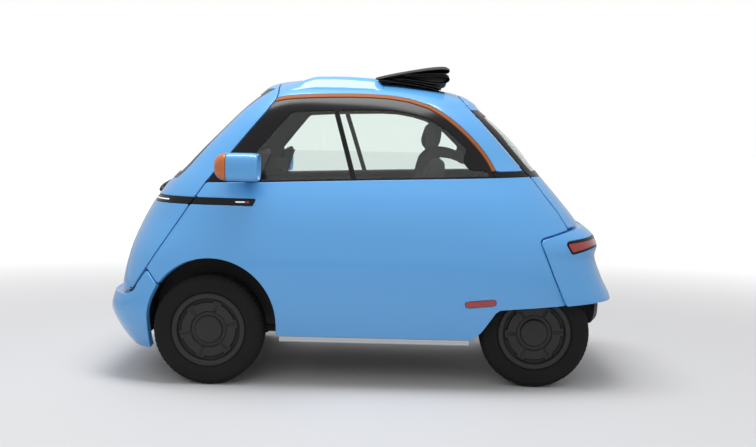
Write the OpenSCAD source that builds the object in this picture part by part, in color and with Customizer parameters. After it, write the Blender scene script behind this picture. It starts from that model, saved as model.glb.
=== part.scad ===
// Two-seat electric microcar with one front door.
// X runs forward, Y to the car's left and Z up. The origin is on the ground,
// below the middle of the body and on its centre plane.

/* [Body] */
// Length over both bumpers
body_l = 2519; // [2350:1:2700]
// Half of the width over the front wings
half_w = 736.5; // [690:0.5:790]
// Height of the roof above the ground
roof_h = 1501; // [1430:1:1600]
// Thickness of the side walls and bumpers
wall = 42; // [30:1:60]
// Thickness of the roof, the front door and the tailgate
panel_t = 34; // [24:1:50]
// Gap all round the front door and the tailgate
shut_gap = 8.5; // [7:0.5:10]
// Height of the floor's underside
floor_z = 215; // [190:1:240]

/* [Glass] */
// Thickness of each pane
glass_t = 5; // [4:0.5:8]
// How far the panes lie below the body surface
glass_in = 3; // [1:0.5:6]
// Width of the bar that parts the two side panes
bar_w = 24; // [16:1:40]
// Width of the coloured strip above the side window
strip_w = 18; // [12:1:26]

/* [Wheels] */
// Distance between the front and rear axles
wheelbase = 1573; // [1500:1:1650]
// Distance of the front axle ahead of the origin
front_x = 711; // [660:1:740]
// Distance between the middles of the front tyres
front_track = 1250; // [1190:1:1290]
// Distance between the middles of the rear tyres
rear_track = 1030; // [970:1:1070]
// Outer radius of the tyres
tyre_r = 266.5; // [250:0.5:275]
// Width of the tyres
tyre_w = 145; // [130:1:155]
// Radius of the rims where the tyres sit
rim_r = 165; // [158:0.5:172]
// Radius of the front wheel arches
arch_r = 314; // [305:1:325]
// Circle of the wheel bolts
bolt_pcd = 100; // [95:1:112]
// Radius of the holes for the wheel bolts
bolt_r = 6.5; // [5:0.1:8]

/* [Cabin] */
// Width of the seat bench
bench_w = 1020; // [900:1:1060]
// Distance of the bench's front edge ahead of the origin
bench_x = 136; // [100:1:160]
// Height of the top of the seat cushion
seat_z = 560; // [520:1:600]
// Radius of the steering wheel
steer_r = 175; // [160:1:190]
// Distance of the steering wheel left of the middle
steer_y = 290; // [260:1:320]

/* [Lamps] */
// Length of each mirror pod
pod_l = 206; // [180:1:240]
// Height of each mirror pod
pod_h = 134; // [110:1:150]
// Width of each mirror pod
pod_w = 150; // [120:1:170]
// Distance of the middle of each pod from the centre plane
pod_y = 745; // [730:1:790]

/* [Hidden] */
BLUE = [0.35, 0.62, 0.83];
ORANGE = [0.85, 0.44, 0.16];
BLACK = [0.09, 0.09, 0.1];
GLASS = [0.3, 0.36, 0.38, 0.5];
fit = 0.3;
rear_x = front_x - wheelbase;
kx = body_l / 2519;
ky = half_w / 736.5;
kz = roof_h / 1501;

// Lines of the body, each a list of [height, place] at the base size.
nose_line = [[1501, 100], [1490, 330], [1466, 468], [1400, 550], [1250, 704],
    [1065, 886], [978, 972], [875, 1058], [780, 1115], [650, 1166], [520, 1194],
    [420, 1204], [300, 1190], [180, 1140]];
tail_line = [[1501, 100], [1484, -150], [1457, -320], [1427, -477], [1385, -560],
    [1342, -598], [1181, -776], [1026, -903], [903, -1008], [813, -1080],
    [735, -1125], [600, -1160], [450, -1180], [300, -1175], [180, -1130]];
side_line = [[1501, 0], [1494, 130], [1480, 240], [1455, 350], [1425, 420],
    [1380, 470], [1300, 520], [1200, 560], [1100, 596], [1000, 640], [900, 684],
    [800, 712], [650, 733], [550, 736.5], [450, 729], [330, 705], [180, 650]];
mid_line = [[1501, 100], [1400, 160], [1200, 260], [1000, 300], [180, 300]];
nose_round = [[1501, 2], [1470, 2.6], [1420, 3.4], [1300, 4], [1000, 4],
    [800, 3.4], [600, 4], [450, 4.6], [180, 5]];
tail_round = [[1501, 2], [1470, 2.8], [1420, 3.6], [1300, 4.6], [1000, 4.4],
    [800, 4.6], [600, 5.6], [180, 6]];
// The bumpers stand out from the body below these heights.
bumper_nose = [[830, 1090], [560, 1200], [470, 1222], [403, 1246], [344, 1259.5],
    [290, 1244], [200, 1190], [110, 1110]];
bumper_tail = [[830, -1060], [790, -1112], [735, -1176], [690, -1192],
    [632, -1178], [529, -1213], [438, -1257], [380, -1259.5], [322, -1240],
    [250, -1180], [110, -1080]];
bumper_side = [[830, 705], [650, 734], [450, 731], [330, 712], [110, 630]];

// A smooth curve through the points of a table, by Hermite pieces.
function place(t, k, i = 0) = i >= len(t) - 2 || k <= t[i + 1][0] ? i : place(t, k, i + 1);
function rise(t, i) =
    let (a = max(0, i - 1), b = min(len(t) - 1, i + 1))
    (t[b][1] - t[a][1]) / (t[b][0] - t[a][0]);
function curve(t, k) =
    let (i = place(t, k), h = t[i + 1][0] - t[i][0],
         u = min(1, max(0, (k - t[i][0]) / h)), v = 1 - u)
    v * v * (1 + 2 * u) * t[i][1] + u * u * (3 - 2 * u) * t[i + 1][1]
    + h * u * v * (v * rise(t, i) - u * rise(t, i + 1));
// Heights are keyed by the root of the depth below the crown, which keeps it round.
function key(z) = sqrt(max(0, 1501 - z));
function keyed(t) = [for (p = t) [key(p[0]), p[1]]];
BODY = [keyed(nose_line), keyed(tail_line), keyed(side_line), keyed(mid_line),
    keyed(nose_round), keyed(tail_round)];
BUMPER = [keyed(bumper_nose), keyed(bumper_tail), keyed(bumper_side), BODY[3],
    BODY[4], BODY[5]];
// One point of a surface: k is the height's key and a the angle round the car.
function power(v, e) = sign(v) * pow(abs(v), e);
function on_body(s, k, a) =
    let (m = curve(s[3], k), front = cos(a) >= 0,
         reach = front ? curve(s[0], k) - m : m - curve(s[1], k),
         n = front ? curve(s[4], k) : curve(s[5], k))
    [kx * (m + reach * power(cos(a), 2 / n)),
     ky * curve(s[2], k) * power(sin(a), 2 / n),
     kz * (1501 - k * k)];
function sunk(s, k, a, depth) =
    let (p = on_body(s, k, a),
         du = on_body(s, k + 0.05, a) - on_body(s, k - 0.05, a),
         dv = on_body(s, k, a + 0.4) - on_body(s, k, a - 0.4),
         n = cross(dv, du))
    p + depth * n / norm(n);

rings = 22;
spokes = 56;
// The whole body as one closed solid, its surface sunk by a depth.
module skin(s, depth, k_top, k_low) {
    angles = [for (j = [0:spokes - 1]) (j + 0.5) * 360 / spokes];
    points = [for (i = [0:rings], a = angles)
        sunk(s, k_top + (k_low - k_top) * i / rings, a, depth)];
    walls = [for (i = [0:rings - 1], j = [0:spokes - 1])
        let (b = (j + 1) % spokes)
        [i * spokes + j, i * spokes + b, (i + 1) * spokes + b, (i + 1) * spokes + j]];
    top = [for (j = [spokes - 1:-1:0]) j];
    low = [for (j = [0:spokes - 1]) rings * spokes + j];
    polyhedron(points, concat(walls, [top, low]), convexity = 8);
}
module shell(s, from, to, k_top = 0.8, k_low = 36.3) {
    difference() {
        skin(s, from, k_top, k_low);
        skin(s, to, k_top, k_low);
    }
}
// A side view outline, drawn as [x, z] and run across the car.
module across(points, y0 = -1000, y1 = 1000) {
    translate([0, y1, 0]) rotate([90, 0, 0]) linear_extrude(y1 - y0, convexity = 6)
        polygon(points);
}
module across_shape(y0 = -1000, y1 = 1000) {
    translate([0, y1, 0]) rotate([90, 0, 0]) linear_extrude(y1 - y0, convexity = 6) children();
}
// A front view outline, drawn as [y, z] and run along the car.
module along(x0, x1) {
    translate([x0, 0, 0]) rotate([90, 0, 90]) linear_extrude(x1 - x0, convexity = 6) children();
}
module pair() {
    children();
    mirror([0, 1, 0]) children();
}
function at(x, z) = [x * kx, z * kz];

// The front door in side view, from the roof down to the bumper.
module door_area(grow = 0) {
    offset(delta = grow) polygon([at(431, 1600), at(427, 1455), at(419, 1415), at(424, 1384),
        at(467, 1319), at(739, 974), at(1073, 482), at(1092, 446), at(1125, 431),
        at(1500, 431), at(1500, 1600)]);
}
// The tailgate in side view.
module tail_area(grow = 0) {
    offset(delta = grow) polygon([at(-476, 1600), at(-476, 1418), at(-541, 1342),
        at(-806, 1043), at(-843, 1013), at(-900, 936), at(-960, 862), at(-1008, 776),
        at(-1115, 795), at(-1500, 800), at(-1500, 1600)]);
}
// Bumper areas in side view.
nose_area = [at(960, 488), at(1018, 551), at(1067, 481), at(1086, 445), at(1124, 425),
    at(1400, 425), at(1400, 150), at(960, 150)];
nose_cut = [at(960, 488), at(1018, 551), at(1067, 481), at(1400, 481), at(1400, 150),
    at(960, 150)];
rump_area = [at(-877, 733), at(-1012, 770), at(-1114, 789), at(-1400, 794),
    at(-1400, 275), at(-1190, 290), at(-1165, 428), at(-1001, 416), at(-937, 558),
    at(-872, 708)];
rump_front = [at(-1500, 794), at(-1114, 789), at(-1012, 770), at(-877, 733), at(-872, 708),
    at(-937, 558), at(-1001, 416), at(-1001, 100), at(-1500, 100)];
belt = [at(800, 968), at(728, 974), at(470, 980), at(-75, 1000), at(-625, 1018), at(-900, 1027)];
// The side window: outer edge of the coloured strip, then smaller by a step.
strip_edge = [at(442, 1384), at(375, 1398), at(300, 1405), at(140, 1413), at(-50, 1414),
    at(-140, 1409), at(-236, 1394), at(-334, 1365), at(-432, 1307), at(-530, 1221),
    at(-605, 1140), at(-656, 1057)];
module window_area(step = 0) {
    offset(delta = -step) polygon(concat([at(900, 900), at(600, 1319), at(520, 1372)], strip_edge,
        [at(-672, 1030), at(-672, 900)]));
}
module belt_area(low = 900, grow = 0) {
    offset(delta = grow)
        polygon(concat(belt, [at(-1400, 1027), at(-1400, low), at(1400, low), at(1400, 968)]));
}
module see_through(grow = 0) {
    offset(r = 18 + grow, $fn = 12) offset(delta = -18)
        polygon([at(392, 1131), at(252, 1312), at(100, 1315), at(-91, 1324), at(-187, 1321),
            at(-284, 1294), at(-416, 1220), at(-500, 1130), at(-530, 1050), at(-72, 1038),
            at(360, 1020)]);
}
module bar_area(grow = 0) {
    polygon([at(128 + bar_w / 2 + grow, 1330), at(128 - bar_w / 2 - grow, 1330),
        at(30 - bar_w / 2 - grow, 1020), at(30 + bar_w / 2 + grow, 1020)]);
}
module front_arch(grow = 0) {
    translate([front_x - 11, 302]) circle(r = arch_r + grow, $fn = 64);
    translate([front_x - 11 - arch_r - grow, 0]) square([2 * (arch_r + grow), 302]);
}
rear_arch_area = [at(-480, 120), at(-556, 236), at(-600, 281), at(-678, 393),
    at(-1001, 416), at(-1170, 428), at(-1400, 428), at(-1400, 120)];

// ---- body panels ----
module half_panel() {
    resize([0, 0, 0]) difference() {
        intersection() {
            shell(BODY, 0, wall);
            translate([-1300, 1, floor_z + 25]) cube([2600, 900, 900 * kz]);
        }
        across_shape() door_area();
        across_shape() tail_area();
        across(nose_cut);
        across(rump_front);
        across(rear_arch_area);
        across_shape() front_arch();
        across_shape() difference() {
            translate([-1500, 900]) square([3000, 800]);
            belt_area(800);
        }
        strip_pocket();
        reflector_pocket();
    }
}
module strip_pocket(grow = fit) {
    across([at(500 - grow, 905 + grow), at(850, 905 + grow), at(850, 862 - grow),
        at(520 - grow, 862 - grow)], 560, 900);
}
module reflector_pocket(grow = fit) {
    across([at(-516 + grow, 433 + grow), at(-660 - grow, 447 + grow),
        at(-660 - grow, 417 - grow), at(-524 + grow, 405 - grow)], 640 * ky, 900);
}
module side_panel_left() { color(BLUE) half_panel(); }
module side_panel_right() { color(BLUE) mirror([0, 1, 0]) half_panel(); }

roof_hole = [[-60, 325], 320];
module roof_panel() {
    color(BLUE) resize([0, 0, 0]) difference() {
        shell(BODY, 0, panel_t, 0.8, 24);
        across_shape() door_area();
        across_shape() tail_area();
        across_shape() window_area();
        across_shape() belt_area(-100);
        translate([roof_hole[0][0] * kx, -roof_hole[1] * ky, 1300])
            cube([(roof_hole[0][1] - roof_hole[0][0]) * kx, 2 * roof_hole[1] * ky, 400]);
        roof_pockets();
    }
}
module roof_strips() {
    color(ORANGE) pair() resize([0, 0, 0]) difference() {
        intersection() {
            shell(BODY, -4, 14, 6, 24);
            across_shape(1, 1000) difference() {
                window_area(fit);
                window_area(strip_w);
            }
        }
        across_shape() door_area();
        across_shape() belt_area(0);
    }
}
module window_frames() {
    color(BLACK) pair() {
        resize([0, 0, 0]) intersection() {
            shell(BODY, 2, 26, 6, 23.5);
            across_shape(1, 1000) difference() {
                window_area(strip_w + fit);
                door_area();
                belt_area(0, fit);
                see_through();
            }
        }
        resize([0, 0, 0]) intersection() {
            shell(BODY, 2, 26, 6, 23.5);
            across_shape(1, 1000) intersection() {
                bar_area();
                see_through(-fit);
            }
        }
    }
}
module side_windows() {
    color(GLASS) pair() resize([0, 0, 0]) intersection() {
        shell(BODY, glass_in + 4, glass_in + 4 + glass_t, 6, 24);
        across_shape(1, 1000) difference() {
            see_through(-fit);
            bar_area(fit);
        }
    }
}
module front_bumper() {
    color(BLUE) resize([0, 0, 0]) difference() {
        shell(BUMPER, 0, wall, 26, 37);
        across([at(-1400, 900), at(-1400, 0), at(960, 0), at(960, 488), at(1018, 551),
            at(1067, 481), at(1086, 445), at(1124, 425), at(1400, 425), at(1400, 900)]);
        translate([900, -800, 0]) cube([500, 1600, 150]);
        across_shape() front_arch();
        translate([door_axis[0] * kx, door_axis[1] * ky, post_z])
            cylinder(r = post_r + fit, h = 600, $fn = 24);
        door_leaf(5);
    }
}
module rear_bumper() {
    color(BLUE) resize([0, 0, 0]) difference() {
        intersection() {
            shell(BUMPER, 0, wall, 26, 37);
            across(rump_area);
        }
        lamp_cut(fit);
    }
}
// Slot of the tail lamps, which run round the corners to the back.
module lamp_cut(grow) {
    pair() across([at(-1000 + grow, 722 + grow), at(-1145, 738 + grow),
        at(-1300, 742 + grow), at(-1300, 680 - grow), at(-1148, 686 - grow),
        at(-1024 + grow, 664 - grow)], 210 - grow, 1000);
}
module tail_lamps() {
    color([0.6, 0.05, 0.04]) resize([0, 0, 0]) intersection() {
        shell(BUMPER, 1, 26, 26, 33);
        lamp_cut(0);
    }
}
module side_reflectors() {
    color([0.55, 0.05, 0.04]) pair() resize([0, 0, 0]) intersection() {
        shell(BODY, -1, 12, 30, 34);
        reflector_pocket(0);
    }
}
module side_light_strips() {
    color(BLACK) pair() resize([0, 0, 0]) difference() {
        intersection() {
            shell(BODY, 0, 16, 22, 28);
            strip_pocket(0);
        }
        across_shape() door_area();
    }
}
module roof_fabric() {
    color(BLACK) resize([0, 0, 0]) difference() {
        across([at(-56, 1480), at(-56, 1514), at(-110, 1528), at(-250, 1554), at(-395, 1577),
            at(-435, 1575), at(-452, 1561), at(-446, 1530), at(-454, 1510), at(-432, 1487),
            at(-365, 1484), at(-330, 1440), at(-56, 1440)], -345 * ky, 345 * ky);
        skin(BODY, -fit, 0.8, 24);
        translate([-100, -roof_hole[1] * ky, 0]) cube([200, 2 * roof_hole[1] * ky, 1505 * kz]);
    }
}

// ---- floor, liners and sills ----
module floor_pan() {
    color(BLACK) resize([0, 0, 0]) difference() {
        intersection() {
            skin(BODY, wall + fit, 22, 37);
            union() {
                translate([-560, -900, floor_z]) cube([1640, 1800, 30]);
                translate([-590, -900, floor_z]) cube([30, 1800, 330]);
                translate([-1060, -900, 515]) cube([500, 1800, 30]);
            }
        }
        pair() translate([front_x - 11 - arch_r - 20, 395, 0]) cube([2 * arch_r + 40, 600, 800]);
        pair() translate([rear_x - 300, 395, 0]) cube([620, 600, 600]);
    }
}
module arch_liners() {
    color(BLACK) pair() resize([0, 0, 0]) difference() {
        intersection() {
            translate([front_x - 11, 720, 302]) rotate([90, 0, 0]) difference() {
                cylinder(r = arch_r + 16, h = 340, $fn = 48);
                translate([0, 0, -6]) cylinder(r = arch_r + 10, h = 340, $fn = 48);
            }
            skin(BODY, wall + 3, 22, 37);
            skin(BUMPER, wall + 3, 26, 37);
        }
        translate([front_x - 400, 0, 0]) cube([800, 900, floor_z + 31]);
    }
}
module rear_valance() {
    color(BLACK) resize([0, 0, 0]) intersection() {
        skin(BUMPER, wall + fit, 28, 37);
        translate([rear_x - 310, -700, 290]) cube([20, 1400, 125]);
    }
}
module sill_strips() {
    color([0.75, 0.78, 0.8]) pair() resize([0, 0, 0]) intersection() {
        shell(BODY, 2, 30, 33, 37);
        translate([-545, 1, floor_z - 5]) cube([920, 900, 29.7]);
    }
}

// ---- mirror pods ----
pod_x = 570;
pod_z = 1052;
module pod_shape(x0, x1) {
    translate([x0, 0, 0]) rotate([90, 0, 90]) linear_extrude(x1 - x0) offset(r = 40, $fn = 48)
        square([pod_w - 80, pod_h - 80], center = true);
}
module mirror_pods() {
    color(BLUE) pair() translate([pod_x, pod_y, pod_z]) resize([0, 0, 0]) difference() {
        hull() {
            pod_shape(-pod_l / 2, pod_l / 2 - 40);
            translate([pod_l / 2 - 1, 0, 0]) scale([1, 0.86, 0.86]) pod_shape(0, 1);
            translate([-pod_l / 2, 0, 0]) scale([1, 0.94, 0.94]) pod_shape(-10, 1);
        }
        translate([pod_l / 2 - 12, 0, 0]) rotate([0, 90, 0]) cylinder(r = 46, h = 20, $fn = 48);
    }
}
module headlamps() {
    color([0.9, 0.92, 0.95]) pair() translate([pod_x + pod_l / 2 - 11.7, pod_y, pod_z])
        rotate([0, 90, 0]) cylinder(r = 45.7, h = 10, $fn = 96);
}
module pod_arms() {
    color(BLACK) pair() resize([0, 0, 0]) difference() {
        translate([pod_x - pod_l / 2 + 20, 560, pod_z - 45])
            cube([90, pod_y - 560 - pod_w / 2 - fit, 50]);
        skin(BODY, 2 - fit, 6, 24);
    }
}

// ---- cabin ----
module rounded_box(size, r) {
    linear_extrude(size[2]) offset(r = r, $fn = 32) offset(delta = -r) square([size[0], size[1]]);
}
// The box under the bench holds the battery and is filled by it.
module seat_base() {
    color(BLACK) translate([bench_x - 470, -bench_w / 2 + 40, floor_z + 30])
        cube([450, bench_w - 80, seat_z - 120 - floor_z - 30]);
}
cushion_area = [[bench_x - 8, seat_z - 20], [bench_x - 28, seat_z],
    [bench_x - 440, seat_z - 35], [bench_x - 460, seat_z - 120 + fit],
    [bench_x - 28, seat_z - 120 + fit], [bench_x, seat_z - 80]];
module seat_cushion() {
    color([0.2, 0.2, 0.21]) across(cushion_area, -bench_w / 2, bench_w / 2);
}
function back_at(h) = [bench_x - 376 - h * 0.12, seat_z - 20 + h];
module seat_back() {
    color([0.2, 0.2, 0.21]) across_shape(-bench_w / 2, bench_w / 2) difference() {
        polygon([back_at(-40), back_at(420), back_at(560) + [-20, 5], back_at(580) + [-50, 0],
            back_at(560) + [-110, 0], back_at(-60) + [-115, 0], back_at(-60)]);
        offset(delta = fit) polygon(cushion_area);
    }
}
module headrests() {
    color([0.2, 0.2, 0.21]) pair() {
        translate([0, 250, 0]) across([back_at(600) + [10, 0], back_at(650) + [22, 0],
            back_at(730) + [6, 0], back_at(760) + [-30, 0], back_at(730) + [-72, 0],
            back_at(620) + [-75, 0], back_at(595) + [-50, 0]], -120, 120);
        for (y = [190, 310]) translate([back_at(580)[0] - 50, y, back_at(580)[1] + fit])
            cylinder(r = 5, h = 18);
    }
}
module seat_belts() {
    color(BLACK) pair() translate([-655, 310, 545 + fit]) {
        cube([60, 70, 480]);
        translate([5, 10, 480]) cube([50, 50, 60]);
    }
}
column = [[760, 300], [330, 800]];
lean = atan2(column[1][1] - column[0][1], column[0][0] - column[1][0]);
column_l = norm(column[1] - column[0]);
module on_column() {
    translate([column[1][0], steer_y, column[1][1]]) rotate([0, lean - 90, 0]) children();
}
module steering_column() {
    color(BLACK) {
        on_column() translate([0, 0, -column_l]) cylinder(r = 28, h = column_l - 40, $fn = 48);
        translate([column[0][0] - 45, steer_y - 25, floor_z + 30 + fit]) cube([60, 50, 60]);
    }
}
module steering_wheel() {
    color(BLACK) on_column() {
        rotate_extrude($fn = 96) translate([steer_r - 14, 0]) circle(r = 14, $fn = 32);
        translate([0, 0, -40 + fit]) cylinder(r = 40, h = 46 - fit, $fn = 48);
        for (a = [0, 180, 270]) rotate([0, 0, a + 90]) translate([30, -16, -16])
            cube([steer_r - 50, 32, 12]);
    }
}
module pedals() {
    color(BLACK) for (y = [200, 320]) translate([740, y, 330]) {
        rotate([0, -30, 0]) cube([8, 60, 80]);
        translate([-6, 20, -85 + fit]) cube([10, 20, 92]);
    }
}
module motor_block() {
    color("gray") translate([rear_x - 60, -150, 190]) cube([300, 300, 230]);
}

// ---- wheels and running gear ----
module wheel_at(x, y) {
    translate([x, y, tyre_r]) rotate([y > 0 ? -90 : 90, 0, 0]) children();
}
seat_half = tyre_w / 2 - 12.5;
module tyre() {
    color([0.05, 0.05, 0.05]) rotate_extrude($fn = 96) polygon([
        [rim_r + fit, -seat_half + fit], [rim_r + 13, -seat_half + fit],
        [rim_r + 26, -tyre_w / 2 + 3], [rim_r + 50, -tyre_w / 2], [tyre_r - 22, -tyre_w / 2 + 2.5],
        [tyre_r - 5, -tyre_w / 2 + 14], [tyre_r, -tyre_w / 2 + 28], [tyre_r, tyre_w / 2 - 28],
        [tyre_r - 5, tyre_w / 2 - 14], [tyre_r - 22, tyre_w / 2 - 2.5], [rim_r + 50, tyre_w / 2],
        [rim_r + 26, tyre_w / 2 - 3], [rim_r + 13, seat_half - fit], [rim_r + fit, seat_half - fit]]);
}
hub_r = 30;
face_z = 28;
module rim() {
    color(BLACK) difference() {
        rotate_extrude($fn = 96) polygon([[hub_r + fit, face_z], [hub_r + fit, face_z + 12],
            [rim_r - 14, face_z + 20], [rim_r - 8, seat_half + 6], [rim_r + 10, seat_half + 6],
            [rim_r + 12, seat_half + 2], [rim_r + 10, seat_half], [rim_r, seat_half],
            [rim_r, -seat_half], [rim_r + 10, -seat_half], [rim_r + 12, -seat_half - 2],
            [rim_r + 10, -seat_half - 6], [rim_r - 8, -seat_half - 6], [rim_r - 10, face_z + 4],
            [rim_r - 60, face_z]]);
        for (i = [0:3]) rotate([0, 0, 45 + 90 * i]) translate([bolt_pcd / 2, 0, 0])
            cylinder(r = bolt_r, h = 100, $fn = 32);
    }
}
module hub(depth) {
    translate([0, 0, face_z - 10 - fit]) cylinder(r = 66, h = 10, $fn = 48);
    translate([0, 0, face_z - 11]) cylinder(r = hub_r, h = 30, $fn = 48);
    translate([0, 0, -depth]) cylinder(r = 40, h = depth + face_z - 10, $fn = 48);
    translate([0, 0, -depth + 30]) cylinder(r = 110, h = 12, $fn = 64);
}
king_y = front_track / 2 - 62;
module knuckle() {
    color("dimgray") difference() {
        union() {
            wheel_at(front_x, front_track / 2) hub(50);
            translate([front_x - 16, king_y - 18, tyre_r - 96]) cube([32, 36, 192]);
            translate([front_x - 110, king_y - 18, tyre_r - 70]) cube([120, 24, 16]);
        }
        translate([front_x, king_y - 4, tyre_r - 100]) cylinder(r = 8 + fit, h = 22, $fn = 32);
        translate([front_x, king_y - 4, tyre_r + 78]) cylinder(r = 8 + fit, h = 22, $fn = 32);
    }
}
module knuckle_left() { knuckle(); }
module knuckle_right() { mirror([0, 1, 0]) knuckle(); }
module front_suspension() {
    color("dimgray") {
        pair() {
            translate([front_x, king_y - 4, tyre_r - 120]) cylinder(r = 8, h = 40, $fn = 32);
            translate([front_x, king_y - 4, tyre_r + 80]) cylinder(r = 8, h = 40, $fn = 32);
            translate([front_x - 14, 260, tyre_r - 122]) cube([28, king_y - 250, 20]);
            translate([front_x - 14, 386 + fit, tyre_r + 102]) cube([28, king_y - 376, 18]);
        }
        translate([front_x - 60, -300, floor_z - 70]) cube([120, 600, 70 - fit]);
    }
}
module rear_axle() {
    color("dimgray") difference() {
        union() {
            pair() wheel_at(rear_x, rear_track / 2) hub(90);
            translate([rear_x - 30, -rear_track / 2 + 90, tyre_r - 30])
                cube([60, rear_track - 180, 60]);
            pair() translate([rear_x, 250, tyre_r - 25]) cube([-590 - fit - rear_x, 50, 50]);
        }
        translate([rear_x - 60 - fit, -150 - fit, 190 - fit]) cube([300, 300 + 2 * fit, 230]);
    }
}
module rim_front_left() { wheel_at(front_x, front_track / 2) rim(); }
module rim_front_right() { wheel_at(front_x, -front_track / 2) rim(); }
module rim_rear_left() { wheel_at(rear_x, rear_track / 2) rim(); }
module rim_rear_right() { wheel_at(rear_x, -rear_track / 2) rim(); }
module tyre_front_left() { wheel_at(front_x, front_track / 2) tyre(); }
module tyre_front_right() { wheel_at(front_x, -front_track / 2) tyre(); }
module tyre_rear_left() { wheel_at(rear_x, rear_track / 2) tyre(); }
module tyre_rear_right() { wheel_at(rear_x, -rear_track / 2) tyre(); }

// ---- hinges ----
// The front door turns on a post that stands in the bumper's left corner.
door_axis = [1085, 620];
post_r = 9;
post_z = 365;
leaf_z = 447.5;
leaf_t = 5;
// The tailgate turns on two pins in pockets under the roof's rear edge.
tail_axis = [-440, 1412];
tail_pin_y = 150;
tail_pin_r = 4;
pocket_w = 36;
arm_w = 16;
module roof_pockets() {
    intersection() {
        skin(BODY, 5, 0.8, 24);
        for (y = [-tail_pin_y, tail_pin_y])
            translate([tail_axis[0] * kx - 90, y - pocket_w / 2, 1330 * kz])
                cube([128, pocket_w, 120]);
    }
}
module at_tail_axis(y) {
    translate([tail_axis[0] * kx, y, tail_axis[1] * kz]) rotate([90, 0, 0]) children();
}
module hinge_pins() {
    color("dimgray") {
        for (y = [-tail_pin_y, tail_pin_y]) at_tail_axis(y + pocket_w / 2 - fit)
            cylinder(r = tail_pin_r, h = pocket_w - 2 * fit, $fn = 48);
        translate([door_axis[0] * kx, door_axis[1] * ky, post_z])
            cylinder(r = post_r, h = leaf_z + leaf_t - post_z, $fn = 48);
    }
}
// Each arm loops below the roof's edge, so that the edge stays clear as it swings up.
// Its end lies against the tailgate's upper edge, which the shut gap moves.
arm_end = (shut_gap - 7) * [-0.766, 0.643];
module tailgate_hinges() {
    color("dimgray") for (y = [-tail_pin_y, tail_pin_y]) at_tail_axis(y + arm_w / 2) difference() {
        union() {
            cylinder(r = 7, h = arm_w, $fn = 48);
            linear_extrude(arm_w) polygon([[-4, 5], [25, -22], [23, -60], [-72, -66],
                [-89.1, -46] + arm_end, [-80.8, -36] + arm_end, [-62, -56], [16, -53], [18, -25], [-6, -3]]);
        }
        translate([0, 0, -1]) cylinder(r = tail_pin_r + fit, h = arm_w + 2, $fn = 48);
    }
}
module door_leaf(grow = 0, bore = 0) {
    translate([door_axis[0] * kx, door_axis[1] * ky, leaf_z - grow])
        linear_extrude(leaf_t + 2 * grow) difference() {
            union() {
                circle(r = 14 + grow, $fn = 48);
                rotate(-62) translate([0, -12 - grow]) square([74 + grow, 24 + 2 * grow]);
            }
            if (bore > 0) circle(r = bore, $fn = 48);
        }
}
module door_hinge() { color("dimgray") door_leaf(bore = post_r + fit); }

// ---- front door ----
module screen_area(grow = 0) {
    offset(r = 30 + grow, $fn = 32) offset(delta = -30)
        polygon([[-345 * ky, 1440 * kz], [345 * ky, 1440 * kz], [490 * ky, 985 * kz],
            [-490 * ky, 985 * kz]]);
}
module front_door() {
    color(BLUE) resize([0, 0, 0]) difference() {
        intersection() {
            shell(BODY, 0, panel_t);
            across_shape() door_area(-shut_gap);
        }
        along(400, 1400) screen_area();
        strip_front(14, fit);
        door_leaf(fit);
    }
}
module strip_front(depth, grow = 0) {
    difference() {
        translate([700, -900, 862 * kz - grow]) cube([700, 1800, 43 * kz + 2 * grow]);
        skin(BODY, depth + grow, 18, 30);
    }
}
module door_light_strip() {
    color(BLACK) resize([0, 0, 0]) intersection() {
        skin(BODY, 0, 18, 30);
        across_shape() door_area(-shut_gap);
        strip_front(14);
    }
}
module windscreen() {
    color(GLASS) resize([0, 0, 0]) intersection() {
        shell(BODY, glass_in, glass_in + glass_t, 4, 24);
        across_shape() door_area(-shut_gap);
        along(400, 1400) screen_area(-fit);
    }
}
module wiper() {
    color(BLACK) resize([0, 0, 0]) intersection() {
        shell(BODY, -22, -fit, 18, 25);
        along(400, 1400) polygon([[300, 905], [310, 925], [-180, 1010], [-185, 995], [60, 950]]);
    }
}
module door_trim() {
    color(BLACK) resize([0, 0, 0]) intersection() {
        shell(BODY, panel_t + fit, panel_t + 60);
        across_shape() door_area(-shut_gap - 30);
        translate([0, -470, 600]) cube([1400, 940, 350 * kz]);
    }
}

// ---- tailgate ----
module rear_screen_area(grow = 0) {
    polygon([[-395 * ky - grow, 1352 * kz + grow], [395 * ky + grow, 1352 * kz + grow],
        [530 * ky + grow, 1020 * kz - grow], [-530 * ky - grow, 1020 * kz - grow]]);
}
module tailgate() {
    color(BLUE) resize([0, 0, 0]) difference() {
        intersection() {
            shell(BODY, 0, panel_t);
            across_shape() tail_area(-shut_gap);
        }
        difference() {
            along(-1400, -400) rear_screen_area();
            skin(BODY, glass_in + glass_t + fit, 0.8, 36.3);
        }
        along(-1400, -400) rear_opening();
    }
}
module rear_opening() {
    polygon([[-300 * ky, 1325 * kz], [300 * ky, 1325 * kz], [400 * ky, 1050 * kz],
        [-400 * ky, 1050 * kz]]);
}
module rear_window() {
    color(GLASS) resize([0, 0, 0]) intersection() {
        shell(BODY, glass_in, glass_in + glass_t);
        across_shape() tail_area(-shut_gap);
        along(-1400, -400) rear_screen_area(-fit);
    }
}

floor_pan();
side_panel_left();
side_panel_right();
roof_panel();
roof_fabric();
roof_strips();
window_frames();
side_windows();
front_bumper();
rear_bumper();
tail_lamps();
side_reflectors();
side_light_strips();
mirror_pods();
headlamps();
pod_arms();
arch_liners();
rear_valance();
sill_strips();
seat_base();
seat_cushion();
seat_back();
headrests();
seat_belts();
steering_column();
steering_wheel();
pedals();
hinge_pins();
door_hinge();
tailgate_hinges();
motor_block();
front_suspension();
rear_axle();
knuckle_left();
knuckle_right();
rim_front_left();
rim_front_right();
rim_rear_left();
rim_rear_right();
tyre_front_left();
tyre_front_right();
tyre_rear_left();
tyre_rear_right();
front_door();
windscreen();
wiper();
door_light_strip();
door_trim();
tailgate();
rear_window();
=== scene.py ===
import math
import bpy
import numpy as np
from mathutils import Matrix, Vector


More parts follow.
